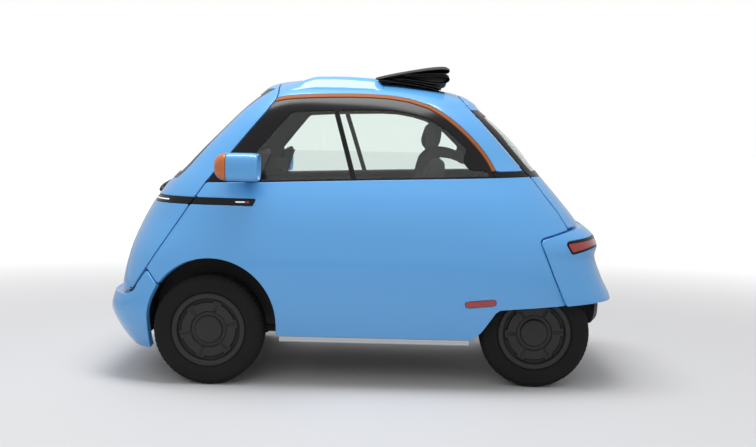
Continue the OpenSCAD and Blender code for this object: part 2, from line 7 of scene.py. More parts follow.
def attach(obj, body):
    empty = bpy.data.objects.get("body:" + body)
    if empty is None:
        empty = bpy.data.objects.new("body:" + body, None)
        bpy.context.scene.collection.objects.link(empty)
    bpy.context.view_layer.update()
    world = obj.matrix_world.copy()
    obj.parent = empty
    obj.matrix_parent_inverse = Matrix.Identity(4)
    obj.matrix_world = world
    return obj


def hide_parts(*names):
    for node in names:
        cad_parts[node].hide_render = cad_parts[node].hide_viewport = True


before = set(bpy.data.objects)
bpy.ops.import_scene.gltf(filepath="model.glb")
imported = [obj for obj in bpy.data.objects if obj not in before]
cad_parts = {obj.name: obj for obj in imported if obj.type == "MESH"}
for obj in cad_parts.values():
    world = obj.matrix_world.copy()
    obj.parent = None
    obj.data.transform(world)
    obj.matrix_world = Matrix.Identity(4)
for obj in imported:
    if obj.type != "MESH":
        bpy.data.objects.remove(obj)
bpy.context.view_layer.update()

# ---- Studio ----
# A pale floor that runs out under a white backdrop, a wide soft lamp over the car and
# one on each side of it, and a camera that stands off its left side.
scene = bpy.context.scene
scene.view_settings.view_transform = "Standard"


def object_from(name, points, faces, unit=0.001):
    mesh = bpy.data.meshes.new(name)
    mesh.from_pydata([tuple(unit * float(c) for c in p) for p in points], [], faces)
    mesh.update()
    made = bpy.data.objects.new(name, mesh)
    scene.collection.objects.link(made)
    return made


def set_inputs(node, **values):
    for title, value in values.items():
        node.inputs[title.replace("_", " ")].default_value = value


def new_material(name, color, roughness=0.5, metallic=0.0, **values):
    """A material, and its shader with these inputs set."""
    material = bpy.data.materials.new(name)
    material.use_nodes = True
    shader = material.node_tree.nodes["Principled BSDF"]
    set_inputs(shader, Base_Color=(*color, 1), Roughness=roughness, Metallic=metallic, **values)
    return material, shader


def add_node(tree, kind, operation=None, **values):
    """A shader node of this kind, with its operation and its inputs set."""
    node = tree.nodes.new("ShaderNode" + kind)
    if operation:
        node.operation = operation
    set_inputs(node, **values)
    return node


def wire(tree, *links):
    """Joins nodes: each link is a node, its output, the next node and its input."""
    for source, output, target, entry in links:
        tree.links.new(source.outputs[output], target.inputs[entry])


floor_half = 60
floor = object_from("studio_floor", [(-floor_half, -floor_half, 0), (floor_half, -floor_half, 0),
    (floor_half, floor_half, 0), (-floor_half, floor_half, 0)], [(0, 1, 2, 3)], 1)
floor_finish, floor_shader = new_material("studio_floor", (0.62, 0.62, 0.63), 0.7,
    Emission_Color=(1, 1, 1, 1))
floor_tree = floor_finish.node_tree
floor_noise = add_node(floor_tree, "TexNoise", Scale=260)
floor_bump = add_node(floor_tree, "Bump", Strength=0.12, Distance=0.002)
# Far from the car the floor brightens into the white backdrop, less so behind glass.
floor_place = add_node(floor_tree, "TexCoord")
floor_range = add_node(floor_tree, "VectorMath", "LENGTH")
floor_fade = add_node(floor_tree, "MapRange", From_Min=1.8, From_Max=9, To_Max=0.9)
floor_fade.interpolation_type = "SMOOTHSTEP"
floor_ray = add_node(floor_tree, "LightPath")
floor_glow = add_node(floor_tree, "Math", "MULTIPLY")
floor_glass = add_node(floor_tree, "Math", "MULTIPLY")
floor_glass.inputs[1].default_value = 0.5
floor_seen = add_node(floor_tree, "Math", "MAXIMUM")
wire(floor_tree, (floor_noise, "Fac", floor_bump, "Height"),
    (floor_bump, "Normal", floor_shader, "Normal"), (floor_place, "Object", floor_range, 0),
    (floor_range, "Value", floor_fade, "Value"), (floor_fade, "Result", floor_glow, 0),
    (floor_ray, "Is Camera Ray", floor_seen, 0),
    (floor_ray, "Is Transmission Ray", floor_glass, 0), (floor_glass, 0, floor_seen, 1),
    (floor_seen, 0, floor_glow, 1), (floor_glow, 0, floor_shader, "Emission Strength"))
floor.data.materials.append(floor_finish)

world = bpy.data.worlds.new("studio_light")
scene.world = world
world.use_nodes = True
air = world.node_tree
backdrop = air.nodes["Background"]
set_inputs(backdrop, Color=(1, 1, 1, 1))
ray = add_node(air, "LightPath")
seen = add_node(air, "Math", "MAXIMUM")
level = add_node(air, "MapRange", To_Min=0.62, To_Max=1.0)
wire(air, (ray, "Is Camera Ray", seen, 0), (ray, "Is Transmission Ray", seen, 1),
    (seen, 0, level, "Value"), (level, "Result", backdrop, "Strength"))


def soft_lamp(name, place, aim, size, watts):
    data = bpy.data.lights.new(name, "AREA")
    data.shape = "RECTANGLE"
    data.size, data.size_y = size
    data.energy = watts
    lamp = bpy.data.objects.new(name, data)
    scene.collection.objects.link(lamp)
    lamp.location = place
    lamp.rotation_euler = (Vector(aim) - Vector(place)).to_track_quat("-Z", "Y").to_euler()
    return lamp


soft_lamp("lamp_over", (0.3, 0.6, 4.6), (0, 0, 0.7), (3.4, 1.6), 150)
for lamp_name, side in (("lamp_left", 1), ("lamp_right", -1)):
    side_lamp = soft_lamp(lamp_name, (1.2, 6.5 * side, 3.4), (0, 0, 0.5), (5.0, 3.0), 90)
    side_lamp.visible_glossy = False

camera_yaw, camera_pitch, camera_roll = (math.radians(v) for v in (1.58, 4.65, 1.10))
right, up, ahead = Vector((-1, 0, 0)), Vector((0, 0, 1)), Vector((0, -1, 0))
ahead, right = (math.cos(camera_yaw) * ahead + math.sin(camera_yaw) * Vector((1, 0, 0)),
    math.cos(camera_yaw) * right + math.sin(camera_yaw) * Vector((0, -1, 0)))
ahead, up = (math.cos(camera_pitch) * ahead - math.sin(camera_pitch) * up,
    math.cos(camera_pitch) * up + math.sin(camera_pitch) * ahead)
right, up = (math.cos(camera_roll) * right + math.sin(camera_roll) * up,
    math.cos(camera_roll) * up - math.sin(camera_roll) * right)
camera_data = bpy.data.cameras.new("camera")
camera_data.lens = 54.05
camera_data.sensor_width = 36
camera = bpy.data.objects.new("camera", camera_data)
scene.collection.objects.link(camera)
camera_place = (-0.243, 6.05, 1.232)
camera.matrix_world = Matrix([(right[i], up[i], -ahead[i], camera_place[i]) for i in range(3)]
    + [(0, 0, 0, 1)])
scene.camera = camera

# ---- Body shell ----
# The painted panels follow two smooth forms, the cabin body and the bumpers that
# stand out from it. Each form is a ring of rounded sections from the crown down.
CROWN = 1501.0
nose_line = [(1501, 100), (1490, 330), (1466, 468), (1400, 550), (1250, 704), (1065, 886),
    (978, 972), (875, 1058), (780, 1115), (650, 1166), (520, 1194), (420, 1204), (300, 1190),
    (180, 1140)]
tail_line = [(1501, 100), (1484, -150), (1457, -320), (1427, -477), (1385, -560), (1342, -598),
    (1181, -776), (1026, -903), (903, -1008), (813, -1080), (735, -1125), (600, -1160),
    (450, -1180), (300, -1175), (180, -1130)]
side_line = [(1501, 0), (1494, 130), (1480, 240), (1455, 350), (1425, 420), (1380, 470),
    (1300, 520), (1200, 560), (1100, 596), (1000, 640), (900, 684), (800, 712), (650, 733),
    (550, 736.5), (450, 729), (330, 705), (180, 650)]
mid_line = [(1501, 100), (1400, 160), (1200, 260), (1000, 300), (180, 300)]
nose_round = [(1501, 2), (1470, 2.6), (1420, 3.4), (1300, 4), (1000, 4), (800, 3.4), (600, 4),
    (450, 4.6), (180, 5)]
tail_round = [(1501, 2), (1470, 2.8), (1420, 3.6), (1300, 4.6), (1000, 4.4), (800, 4.6),
    (600, 5.6), (180, 6)]
bumper_nose = [(830, 1090), (560, 1200), (470, 1222), (403, 1246), (344, 1259.5), (290, 1244),
    (200, 1190), (110, 1110)]
bumper_tail = [(830, -1060), (790, -1112), (735, -1176), (690, -1192), (632, -1178),
    (529, -1213), (438, -1257), (380, -1259.5), (322, -1240), (250, -1180), (110, -1080)]
bumper_side = [(830, 705), (650, 734), (450, 731), (330, 712), (110, 630)]


def depth_key(z):
    return np.sqrt(np.maximum(0.0, CROWN - np.asarray(z, float)))


def fair_line(table):
    """A smooth line through a table of (height, place), keyed by the root of the depth."""
    key = depth_key([t[0] for t in table])
    value = np.array([t[1] for t in table], float)
    last = len(key) - 1
    low = np.maximum(0, np.arange(last + 1) - 1)
    high = np.minimum(last, np.arange(last + 1) + 1)
    slope = (value[high] - value[low]) / (key[high] - key[low])

    def at(k):
        i = np.clip(np.searchsorted(key, k, side="right") - 1, 0, last - 1)
        step = key[i + 1] - key[i]
        u = np.clip((k - key[i]) / step, 0, 1)
        v = 1 - u
        return (v * v * (1 + 2 * u) * value[i] + u * u * (3 - 2 * u) * value[i + 1]
            + step * u * v * (v * slope[i] - u * slope[i + 1]))

    return at


cabin_form = [fair_line(t) for t in (nose_line, tail_line, side_line, mid_line, nose_round,
    tail_round)]
bumper_form = [fair_line(t) for t in (bumper_nose, bumper_tail, bumper_side)] + cabin_form[3:]


def on_form(form, k, turn):
    """Points of a form in millimetres: turn is the direction round the car, 0 at the nose."""
    nose, tail, side, middle, front_round, rear_round = (line(k) for line in form)
    u, v = np.cos(turn), np.sin(turn)
    ahead_half = u >= 0
    reach = np.where(ahead_half, nose - middle, middle - tail)
    power = np.where(ahead_half, front_round, rear_round)
    ring = (np.abs(u) ** power + np.abs(v) ** power) ** (1 / power)
    return np.stack([middle + reach * u / ring, side * v / ring, CROWN - k * k], axis=-1)


def form_normal(form, k, turn):
    along_k = on_form(form, k + 0.02, turn) - on_form(form, k - 0.02, turn)
    along_turn = on_form(form, k, turn + 0.002) - on_form(form, k, turn - 0.002)
    normal = np.cross(along_k, along_turn)
    return normal / np.linalg.norm(normal, axis=-1, keepdims=True)


def side_reach(form, x, z):
    """How far the left side of a form stands out at a place in side view."""
    k = depth_key(z)
    nose, tail, side, middle, front_round, rear_round = (line(k) for line in form)
    x = np.asarray(x, float)
    front = x >= middle
    share = np.abs(x - middle) / np.where(front, nose - middle, middle - tail)
    power = np.where(front, front_round, rear_round)
    return side * np.maximum(0, 1 - np.minimum(1, share) ** power) ** (1 / power)


def inside(flat, outline):
    """Distance of flat points from an outline's edge, positive inside it."""
    edge = np.asarray(outline, float)
    after = np.roll(edge, -1, axis=0)
    nearest = np.full(len(flat), 1e9)
    crossed = np.zeros(len(flat), bool)
    px, pz = flat[:, 0], flat[:, 1]
    for a, b in zip(edge, after):
        run = b - a
        share = np.clip(((px - a[0]) * run[0] + (pz - a[1]) * run[1]) / (run @ run), 0, 1)
        away = np.hypot(px - a[0] - share * run[0], pz - a[1] - share * run[1])
        nearest = np.minimum(nearest, away)
        if a[1] != b[1]:
            meets = (a[1] > pz) != (b[1] > pz)
            crossed ^= meets & (px < a[0] + (pz - a[1]) * run[0] / (b[1] - a[1]))
    return np.where(crossed, nearest, -nearest)


def within(points, outline, gap=0.0):
    """Room inside an outline drawn in side view, a gap away from it."""
    return inside(points[:, [0, 2]], outline) - gap


def clear_of(points, outline, gap=0.0):
    """Room outside an outline drawn in side view, a gap away from it."""
    return -inside(points[:, [0, 2]], outline) - gap


def least(*rooms):
    """The room left where all of these hold."""
    return np.minimum.reduce(rooms)


def true_room(room, points, normals):
    """The distance from a panel's edge as it is measured along its surface."""
    found = room(points)
    near = np.abs(found) < 30
    if near.any():
        base, face = points[near], normals[near]
        slope = slope_of(room, base, found[near])
        slope -= face * np.sum(slope * face, axis=1, keepdims=True)
        found[near] /= np.clip(np.linalg.norm(slope, axis=1), 0.25, 1)
    return found


def slope_of(room, points, value):
    step = 0.5
    return np.stack([(room(points + step * np.eye(3)[i]) - value) / step for i in range(3)], axis=1)


def trimmed_panel(name, form, room, heights, turns, grid, thick=30, bend=3.5, inset=0.0,
        bulge=None):
    """A curved panel with rolled edges: the part of a form where room is above zero."""
    k_line = np.linspace(depth_key(heights[0]), depth_key(heights[1]), grid[0] + 1)
    turn_line = np.radians(np.linspace(turns[0], turns[1], grid[1] + 1))
    k, turn = (g.ravel() for g in np.meshgrid(k_line, turn_line, indexing="ij"))
    points, normals = on_form(form, k, turn), form_normal(form, k, turn)
    rim = true_room(room, points, normals)
    wide = grid[1] + 1
    corner = (np.arange(grid[0])[:, None] * wide + np.arange(grid[1])).ravel()
    quads = np.stack([corner, corner + wide, corner + wide + 1, corner + 1], axis=1)
    quads = quads[rim[quads].max(axis=1) > 0]
    faces, waiting = [], [tuple(q) for q in quads]
    k, turn, rim = list(k), list(turn), list(rim)
    for level in [bend, 0.55 * bend, 0.18 * bend, 0.0] if bend else [0.0]:
        cuts, below = {}, []
        first = len(k)
        for face in waiting:
            values = [rim[i] for i in face]
            if min(values) >= level:
                faces.append(face)
                continue
            if max(values) <= level:
                if level > 0:
                    below.append(face)
                continue
            over, under = [], []
            for here, there in zip(face, face[1:] + face[:1]):
                (over if rim[here] >= level else under).append(here)
                if (rim[here] >= level) != (rim[there] >= level):
                    pair = (min(here, there), max(here, there))
                    if pair not in cuts:
                        share = (rim[pair[0]] - level) / (rim[pair[0]] - rim[pair[1]])
                        cuts[pair] = first + len(cuts)
                        k.append(k[pair[0]] + share * (k[pair[1]] - k[pair[0]]))
                        turn.append(turn[pair[0]] + share * (turn[pair[1]] - turn[pair[0]]))
                        rim.append(level)
                    over.append(cuts[pair])
                    under.append(cuts[pair])
            faces.append(tuple(over))
            if level > 0:
                below.append(tuple(under))
        if cuts:
            ends = np.array(list(cuts))
            k_all, turn_all, rim_all = np.array(k), np.array(turn), np.array(rim)
            low, high = np.zeros(len(ends)), np.ones(len(ends))
            low_rim, high_rim = rim_all[ends[:, 0]] - level, rim_all[ends[:, 1]] - level
            for _ in range(4):
                share = low + (high - low) * np.clip(low_rim / (low_rim - high_rim), 0.04, 0.96)
                k_cut = k_all[ends[:, 0]] + share * (k_all[ends[:, 1]] - k_all[ends[:, 0]])
                turn_cut = (turn_all[ends[:, 0]]
                    + share * (turn_all[ends[:, 1]] - turn_all[ends[:, 0]]))
                spot, face_out = on_form(form, k_cut, turn_cut), form_normal(form, k_cut, turn_cut)
                off = true_room(room, spot, face_out) - level
                same = np.sign(off) == np.sign(low_rim)
                low, low_rim = np.where(same, share, low), np.where(same, off, low_rim)
                high, high_rim = np.where(same, high, share), np.where(same, high_rim, off)
            k[first:], turn[first:] = list(k_cut), list(turn_cut)
        waiting = below
    k, turn, rim = np.array(k), np.array(turn), np.array(rim)
    used = np.unique(np.concatenate([np.array(f) for f in faces]))
    order = np.full(len(k), -1)
    order[used] = np.arange(len(used))
    faces = [tuple(int(order[i]) for i in dict.fromkeys(f)) for f in faces]
    faces = [f for f in faces if len(f) > 2]
    k, turn, rim = k[used], turn[used], np.maximum(rim[used], 0)
    points, normals = on_form(form, k, turn), form_normal(form, k, turn)
    if bulge is not None:
        points = points + normals * bulge(points)[:, None]
    outer_normals, outer = normals.copy(), points - normals * inset
    rolled = rim < max(bend, 0.01)
    inward = slope_of(room, points[rolled], room(points[rolled]))
    inward -= normals[rolled] * np.sum(inward * normals[rolled], axis=1, keepdims=True)
    inward /= np.maximum(np.linalg.norm(inward, axis=1, keepdims=True), 1e-6)
    if bend:
        sine = (bend - rim[rolled]) / bend
        cosine = np.sqrt(np.maximum(0, 1 - sine ** 2))
        outer[rolled] -= normals[rolled] * (bend * (1 - cosine))[:, None]
        outer_normals[rolled] = normals[rolled] * cosine[:, None] - inward * sine[:, None]
    inner = points - normals * (inset + thick)
    edges = {}
    for face in faces:
        for a, b in zip(face, face[1:] + face[:1]):
            if (b, a) in edges:
                del edges[(b, a)]
            else:
                edges[(a, b)] = True
    wall_edges = [e for e in edges if rim[e[0]] < 0.01 and rim[e[1]] < 0.01]
    lip = sorted({i for e in wall_edges for i in e})
    lip_at = {v: 2 * len(points) + j for j, v in enumerate(lip)}
    foot_at = {v: 2 * len(points) + len(lip) + j for j, v in enumerate(lip)}
    side_normal = np.zeros_like(points)
    side_normal[rolled] = -inward
    every = np.concatenate([outer, inner, outer[lip], inner[lip]])
    every_normal = np.concatenate([outer_normals, -normals, side_normal[lip], side_normal[lip]])
    count = len(points)
    back = [tuple(count + i for i in reversed(f)) for f in faces]
    walls = [(b, a, foot_at[a], foot_at[b]) if bend else (lip_at[b], lip_at[a], foot_at[a],
        foot_at[b]) for a, b in wall_edges]
    piece = object_from(name, every, faces + back + walls)
    mesh = piece.data
    mesh.polygons.foreach_set("use_smooth", [True] * len(mesh.polygons))
    inner_slot = [0] * len(faces) + [1] * len(back) + [0] * len(walls)
    mesh.polygons.foreach_set("material_index", inner_slot)
    mesh.normals_split_custom_set_from_vertices([tuple(n) for n in every_normal])
    return piece


def mirrored(piece, name):
    """The same piece for the car's right side."""
    mesh = piece.data.copy()
    flipped = np.array([v.co for v in mesh.vertices])
    normals = np.array([tuple(n.vector) for n in mesh.corner_normals])
    loops = [tuple(reversed(p.vertices)) for p in mesh.polygons]
    ends = [list(reversed(range(p.loop_start, p.loop_start + p.loop_total))) for p in mesh.polygons]
    made = object_from(name, flipped * (1, -1, 1), loops, 1)
    made.data.polygons.foreach_set("use_smooth", [p.use_smooth for p in mesh.polygons])
    for material in mesh.materials:
        made.data.materials.append(material)
    made.data.polygons.foreach_set("material_index", [p.material_index for p in mesh.polygons])
    order = [i for e in ends for i in e]
    made.data.normals_split_custom_set([tuple(n) for n in normals[order] * (1, -1, 1)])
    bpy.data.meshes.remove(mesh)
    return made

# ---- Paint ----
# Sky blue two-layer paint with a hard clear coat. The coat has the faint ripple of
# sprayed lacquer, and a thin film of dust gathers low on the car.


def node_group(name, inputs, outputs):
    group = bpy.data.node_groups.new(name, "ShaderNodeTree")
    for title, kind, value in inputs:
        socket = group.interface.new_socket(name=title, in_out="INPUT", socket_type=kind)
        socket.default_value = value
    for title, kind in outputs:
        group.interface.new_socket(name=title, in_out="OUTPUT", socket_type=kind)
    return group, group.nodes.new("NodeGroupInput"), group.nodes.new("NodeGroupOutput")


# Grain: a height that ripples, for lacquer, moulded plastic, rubber and castings.
grain, grain_in, grain_out = node_group("surface_grain",
    [("Scale", "NodeSocketFloat", 200.0), ("Detail", "NodeSocketFloat", 2.0)],
    [("Height", "NodeSocketFloat")])
grain_place = add_node(grain, "TexCoord")
grain_noise = add_node(grain, "TexNoise")
wire(grain, (grain_place, "Object", grain_noise, "Vector"),
    (grain_in, "Scale", grain_noise, "Scale"), (grain_in, "Detail", grain_noise, "Detail"),
    (grain_noise, "Fac", grain_out, "Height"))

# Dust: greyer and duller patches, thicker near the ground.
dust, dust_in, dust_out = node_group("road_dust",
    [("Color", "NodeSocketColor", (0.1, 0.1, 0.1, 1)), ("Roughness", "NodeSocketFloat", 0.4),
        ("Dust Color", "NodeSocketColor", (0.3, 0.29, 0.27, 1)),
        ("Amount", "NodeSocketFloat", 0.1), ("Top Height", "NodeSocketFloat", 0.6)],
    [("Color", "NodeSocketColor"), ("Roughness", "NodeSocketFloat")])
dust_place = add_node(dust, "TexCoord")
dust_noise = add_node(dust, "TexNoise", Scale=9, Detail=6)
dust_split = add_node(dust, "SeparateXYZ")
dust_rise = add_node(dust, "MapRange", From_Min=0.05, To_Min=1.0, To_Max=0.12)
dust_share = add_node(dust, "Math", "MULTIPLY")
dust_amount = add_node(dust, "Math", "MULTIPLY")
dust_amount.use_clamp = True
dust_mix = add_node(dust, "Mix")
dust_mix.data_type = "RGBA"
dust_dull = add_node(dust, "MapRange", To_Max=0.85)
wire(dust, (dust_place, "Object", dust_noise, "Vector"), (dust_place, "Object", dust_split, 0),
    (dust_split, "Z", dust_rise, "Value"), (dust_in, "Top Height", dust_rise, "From Max"),
    (dust_noise, "Fac", dust_share, 0), (dust_rise, "Result", dust_share, 1),
    (dust_share, 0, dust_amount, 0), (dust_in, "Amount", dust_amount, 1),
    (dust_amount, 0, dust_mix, "Factor"), (dust_in, "Color", dust_mix, "A"),
    (dust_in, "Dust Color", dust_mix, "B"), (dust_mix, "Result", dust_out, "Color"),
    (dust_amount, 0, dust_dull, "Value"), (dust_in, "Roughness", dust_dull, "To Min"),
    (dust_dull, "Result", dust_out, "Roughness"))


def finished(name, color, roughness, metallic=0.0, grain_scale=200.0, grain_depth=0.0002,
        strength=0.2, dusty=0.1, dust_top=0.6, coat=0.0, coat_roughness=0.05, detail=2.0,
        dust_color=(0.3, 0.29, 0.27), shine=0.5):
    """A material with its own grain, and dust over its colour."""
    material, shader = new_material(name, color, roughness, metallic, Coat_Weight=coat,
        Coat_Roughness=coat_roughness, Specular_IOR_Level=shine)
    tree = material.node_tree
    ripple = add_node(tree, "Group")
    ripple.node_tree = grain
    set_inputs(ripple, Scale=grain_scale, Detail=detail)
    bump = add_node(tree, "Bump", Strength=strength, Distance=grain_depth)
    film = add_node(tree, "Group")
    film.node_tree = dust
    set_inputs(film, Color=(*color, 1), Roughness=roughness, Dust_Color=(*dust_color, 1),
        Amount=dusty, Top_Height=dust_top)
    wire(tree, (ripple, "Height", bump, "Height"), (bump, "Normal", shader, "Normal"),
        (film, "Color", shader, "Base Color"), (film, "Roughness", shader, "Roughness"))
    return material


SKY_BLUE = (0.085, 0.335, 0.70)
paint_blue = finished("paint_blue", SKY_BLUE, 0.42, grain_scale=420, strength=0.05,
    dusty=0.10, dust_top=0.45, coat=0.9, coat_roughness=0.04)
lining = finished("cabin_lining", (0.016, 0.017, 0.018), 0.75, grain_scale=900, strength=0.4,
    grain_depth=0.0004, dusty=0.05)
half_shut = 2.75  # half the width of every shut line
car_sides = ((1, "left"), (-1, "right"))


def settled(piece, body, node=None):
    """Puts a piece on its body and hides the part it stands for."""
    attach(piece, body)
    if node:
        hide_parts(node)


def outfit(piece, material, body, node=None):
    piece.data.materials.append(material)
    settled(piece, body, node)


def dress(piece, body, material, node=None, back=None):
    """Gives a panel its finish outside and inside, puts it on its body and hides the part it stands
    for.
    """
    piece.data.materials.append(material)
    outfit(piece, back or material, body, node)


def both_sides(left, material, node=None):
    """Finishes a left panel of the body and makes the right one from it."""
    dress(left, "body", material, node)
    right_name = left.name.replace("_left", "_right")
    settled(mirrored(left, right_name), "body", node)


# ---- Side panels ----
# One pressed panel a side, from the belt under the windows down to the sill, cut
# round for the front wheel and cut away over the tucked-in rear wheel.
door_outline = [(431, 1700), (427, 1455), (419, 1415), (424, 1384), (467, 1319), (739, 974),
    (1073, 482), (1092, 446), (1125, 431), (1600, 431), (1600, 1700)]
tail_outline = [(-476, 1700), (-476, 1418), (-483, 1408), (-541, 1342), (-806, 1043), (-843, 1013),
    (-900, 936), (-960, 862), (-1000, 800), (-1008, 783), (-1020, 778), (-1115, 795),
    (-1600, 800), (-1600, 1700)]
nose_outline = [(940, 462), (1018, 551), (1067, 481), (1086, 445), (1124, 425), (1500, 425),
    (1500, 60), (940, 60)]
rump_outline = [(-1500, 794), (-1114, 789), (-1012, 770), (-884, 736), (-876, 728), (-874, 714),
    (-937, 558), (-1001, 416), (-1001, 60), (-1500, 60)]
belt_line = np.array([(-1400, 1027), (-900, 1027), (-625, 1018), (-75, 1000), (470, 980),
    (728, 974), (1400, 968)], float)
arch_middle, arch_radius, sill_height = (700, 302), 314, 240


def over_belt(points):
    return points[:, 2] - np.interp(points[:, 0], belt_line[:, 0], belt_line[:, 1])


def front_arch(points):
    """Distance outside the front wheel's opening."""
    x, z = points[:, 0] - arch_middle[0], points[:, 2] - arch_middle[1]
    return np.where(z > 0, np.hypot(x, z), np.abs(x)) - arch_radius


slot_height = 884  # middle of the lamp slot above the ground
side_lamp_outline = [(490, 900.5), (492, 893), (503, 867.5), (900, 867.5), (900, 900.5)]
reflector_outline = [(-514, 428), (-517, 432), (-525, 434), (-652, 447), (-660, 444), (-664, 436),
    (-663, 422), (-657, 416), (-530, 404), (-520, 408)]
rear_arch_outline = [(-474, 100), (-483, 180), (-552, 236), (-600, 283), (-664, 380), (-684, 394),
    (-760, 400), (-1001, 416), (-1170, 428), (-1500, 430), (-1500, 100)]


def side_room(points):
    cuts = [(outline, half_shut) for outline in (door_outline, tail_outline, nose_outline,
        rump_outline)]
    cuts += [(rear_arch_outline, 0), (side_lamp_outline, 1), (reflector_outline, 1)]
    return least(-over_belt(points) - 1, points[:, 2] - sill_height, front_arch(points),
        *(clear_of(points, outline, gap) for outline, gap in cuts))


side_left = trimmed_panel("side_skin_left", cabin_form, side_room, (1050, 205), (6, 174),
    (76, 250))
dress(side_left, "body", paint_blue, "side_panel_left", back=lining)
settled(mirrored(side_left, "side_skin_right"), "body", "side_panel_right")

# ---- Roof ----
# The painted roof with its two rear pillars, and a wide opening over the seats.
window_outline = [(900, 900), (600, 1319), (520, 1372), (442, 1384), (375, 1398), (300, 1405),
    (220, 1409), (140, 1412), (50, 1414), (-50, 1413), (-140, 1408), (-236, 1393), (-334, 1363),
    (-384, 1336), (-432, 1304), (-482, 1264), (-530, 1220), (-570, 1178), (-605, 1136),
    (-634, 1094), (-656, 1052), (-672, 1010), (-672, 900)]
band_height = 28
roof_gap = [(-60, -300), (-40, -320), (305, -320), (325, -300), (325, 300), (305, 320),
    (-40, 320), (-60, 300)]


def roof_room(points):
    return least(over_belt(points) - band_height, clear_of(points, door_outline, half_shut),
        clear_of(points, tail_outline, half_shut), clear_of(points, window_outline, 1),
        -inside(points[:, :2], roof_gap))


roof = trimmed_panel("roof_skin", cabin_form, roof_room, (1500.5, 1000), (0, 360), (70, 330))
dress(roof, "body", paint_blue, "roof_panel", back=lining)

# ---- Bumpers ----
# Two moulded and painted bumpers. The front one wraps the nose below the door, the
# rear one carries the tail lamps in a dark slot that runs round each corner.


def nose_room(points):
    return least(within(points, nose_outline, half_shut), points[:, 2] - 150,
        front_arch(points), points[:, 0] - 962)


lamp_outline = [(-1000, 706), (-1003, 720), (-1012, 724), (-1145, 738), (-1400, 742),
    (-1400, 680), (-1148, 686), (-1040, 662), (-1026, 662)]


def lamp_surround(points):
    return least(within(points, lamp_outline), np.abs(points[:, 1]) - 210)


def rump_room(points):
    return least(within(points, rump_outline, half_shut), clear_of(points, rear_arch_outline),
        -lamp_surround(points) - 1)


nose = trimmed_panel("front_bumper_skin", bumper_form, nose_room, (600, 130), (-62, 62),
    (40, 160), bend=5)
dress(nose, "body", paint_blue, "front_bumper", back=lining)
rump = trimmed_panel("rear_bumper_skin", bumper_form, rump_room, (820, 395), (112, 248),
    (48, 190), bend=4)
dress(rump, "body", paint_blue, "rear_bumper", back=lining)

# ---- Front door ----
# The whole front of the car is one door: a painted shell round the windscreen, with
# the front half of the lamp slot across it.
screen_outline = [(-312, 1437), (-328, 1432), (-338, 1415), (-484, 1020), (-486, 1002),
    (-476, 989), (-458, 985), (458, 985), (476, 989), (486, 1002), (484, 1020), (338, 1415),
    (328, 1432), (312, 1437)]


far_off = 500  # taken from the room of points at the other end of the car


def in_screen(points):
    other_end = np.where(points[:, 0] > 200, 0, -far_off)
    return inside(points[:, 1:], screen_outline) + other_end


def door_room(points):
    return least(within(points, door_outline, half_shut), -in_screen(points) - 1,
        np.abs(points[:, 2] - slot_height) - 17.5)


door = trimmed_panel("front_door_skin", cabin_form, door_room, (1497, 425), (-82, 82),
    (96, 200))
dress(door, "front_door", paint_blue, "front_door", back=lining)

# ---- Tailgate ----
# A painted pressed hatch, hung from two hinges at its top. The rear glass fills its
# upper half from side to side.


glass_foot, glass_top = 1024, 1345


def tail_glass(points):
    room = np.minimum(points[:, 2] - glass_foot, glass_top - points[:, 2])
    return np.where(points[:, 0] < -300, room, -far_off)


def tail_room(points):
    return least(within(points, tail_outline, half_shut), -tail_glass(points) - 1)


tail = trimmed_panel("tailgate_skin", cabin_form, tail_room, (1440, 770), (100, 260), (70, 200))
dress(tail, "tailgate", paint_blue, "tailgate", back=lining)

# ---- Side glass ----
# Each side has one flush black-edged window, split by a slanting bar. The edge is
# opaque black print on glass, and the clear part is lightly tinted green.
black_glass = finished("black_glass_print", (0.006, 0.006, 0.007), 0.18, grain_scale=60,
    strength=0.02, dusty=0.01, dust_top=1.2, shine=0.28)
glass_clear = new_material("glass_tinted", (0.90, 0.965, 0.935), 0.0, Transmission_Weight=1.0,
    IOR=1.45)[0]
clear_outline = [(497, 982), (496, 1130), (488, 1142), (346, 1312), (334, 1320), (206, 1328),
    (60, 1333), (-76, 1337), (-164, 1334), (-252, 1319), (-323, 1299), (-424, 1239),
    (-509, 1158), (-511, 1148), (-500, 1120), (-499, 1098), (-508, 1076), (-526, 1060),
    (-550, 1053), (-606, 1051), (-618, 1046), (-622, 1036), (-619, 1018), (-610, 1013),
    (-291, 1004), (-6, 994), (488, 977)]
bar_top, bar_foot, bar_half = (128, 1345), (21, 985), 12


def off_bar(points):
    """Distance from the middle of the slanting bar in side view."""
    run = np.subtract(bar_foot, bar_top) / np.hypot(*np.subtract(bar_foot, bar_top))
    return np.abs((points[:, 0] - bar_top[0]) * run[1] - (points[:, 2] - bar_top[1]) * run[0])


def frame_room(points):
    return least(within(points, window_outline, 20), over_belt(points) - 1,
        clear_of(points, door_outline, half_shut), clear_of(points, clear_outline))


def pane_room(points):
    return least(within(points, clear_outline, -4), off_bar(points) - 4)


def bar_room(points):
    return least(within(points, clear_outline, 0.5), bar_half - off_bar(points))


def band_room(points):
    return least(over_belt(points) - 1, band_height - 1 - over_belt(points),
        clear_of(points, tail_outline, half_shut), clear_of(points, window_outline, -18))


def seal_room(points):
    return least(over_belt(points) - 1.2, 9 - over_belt(points),
        within(points, window_outline, 24))


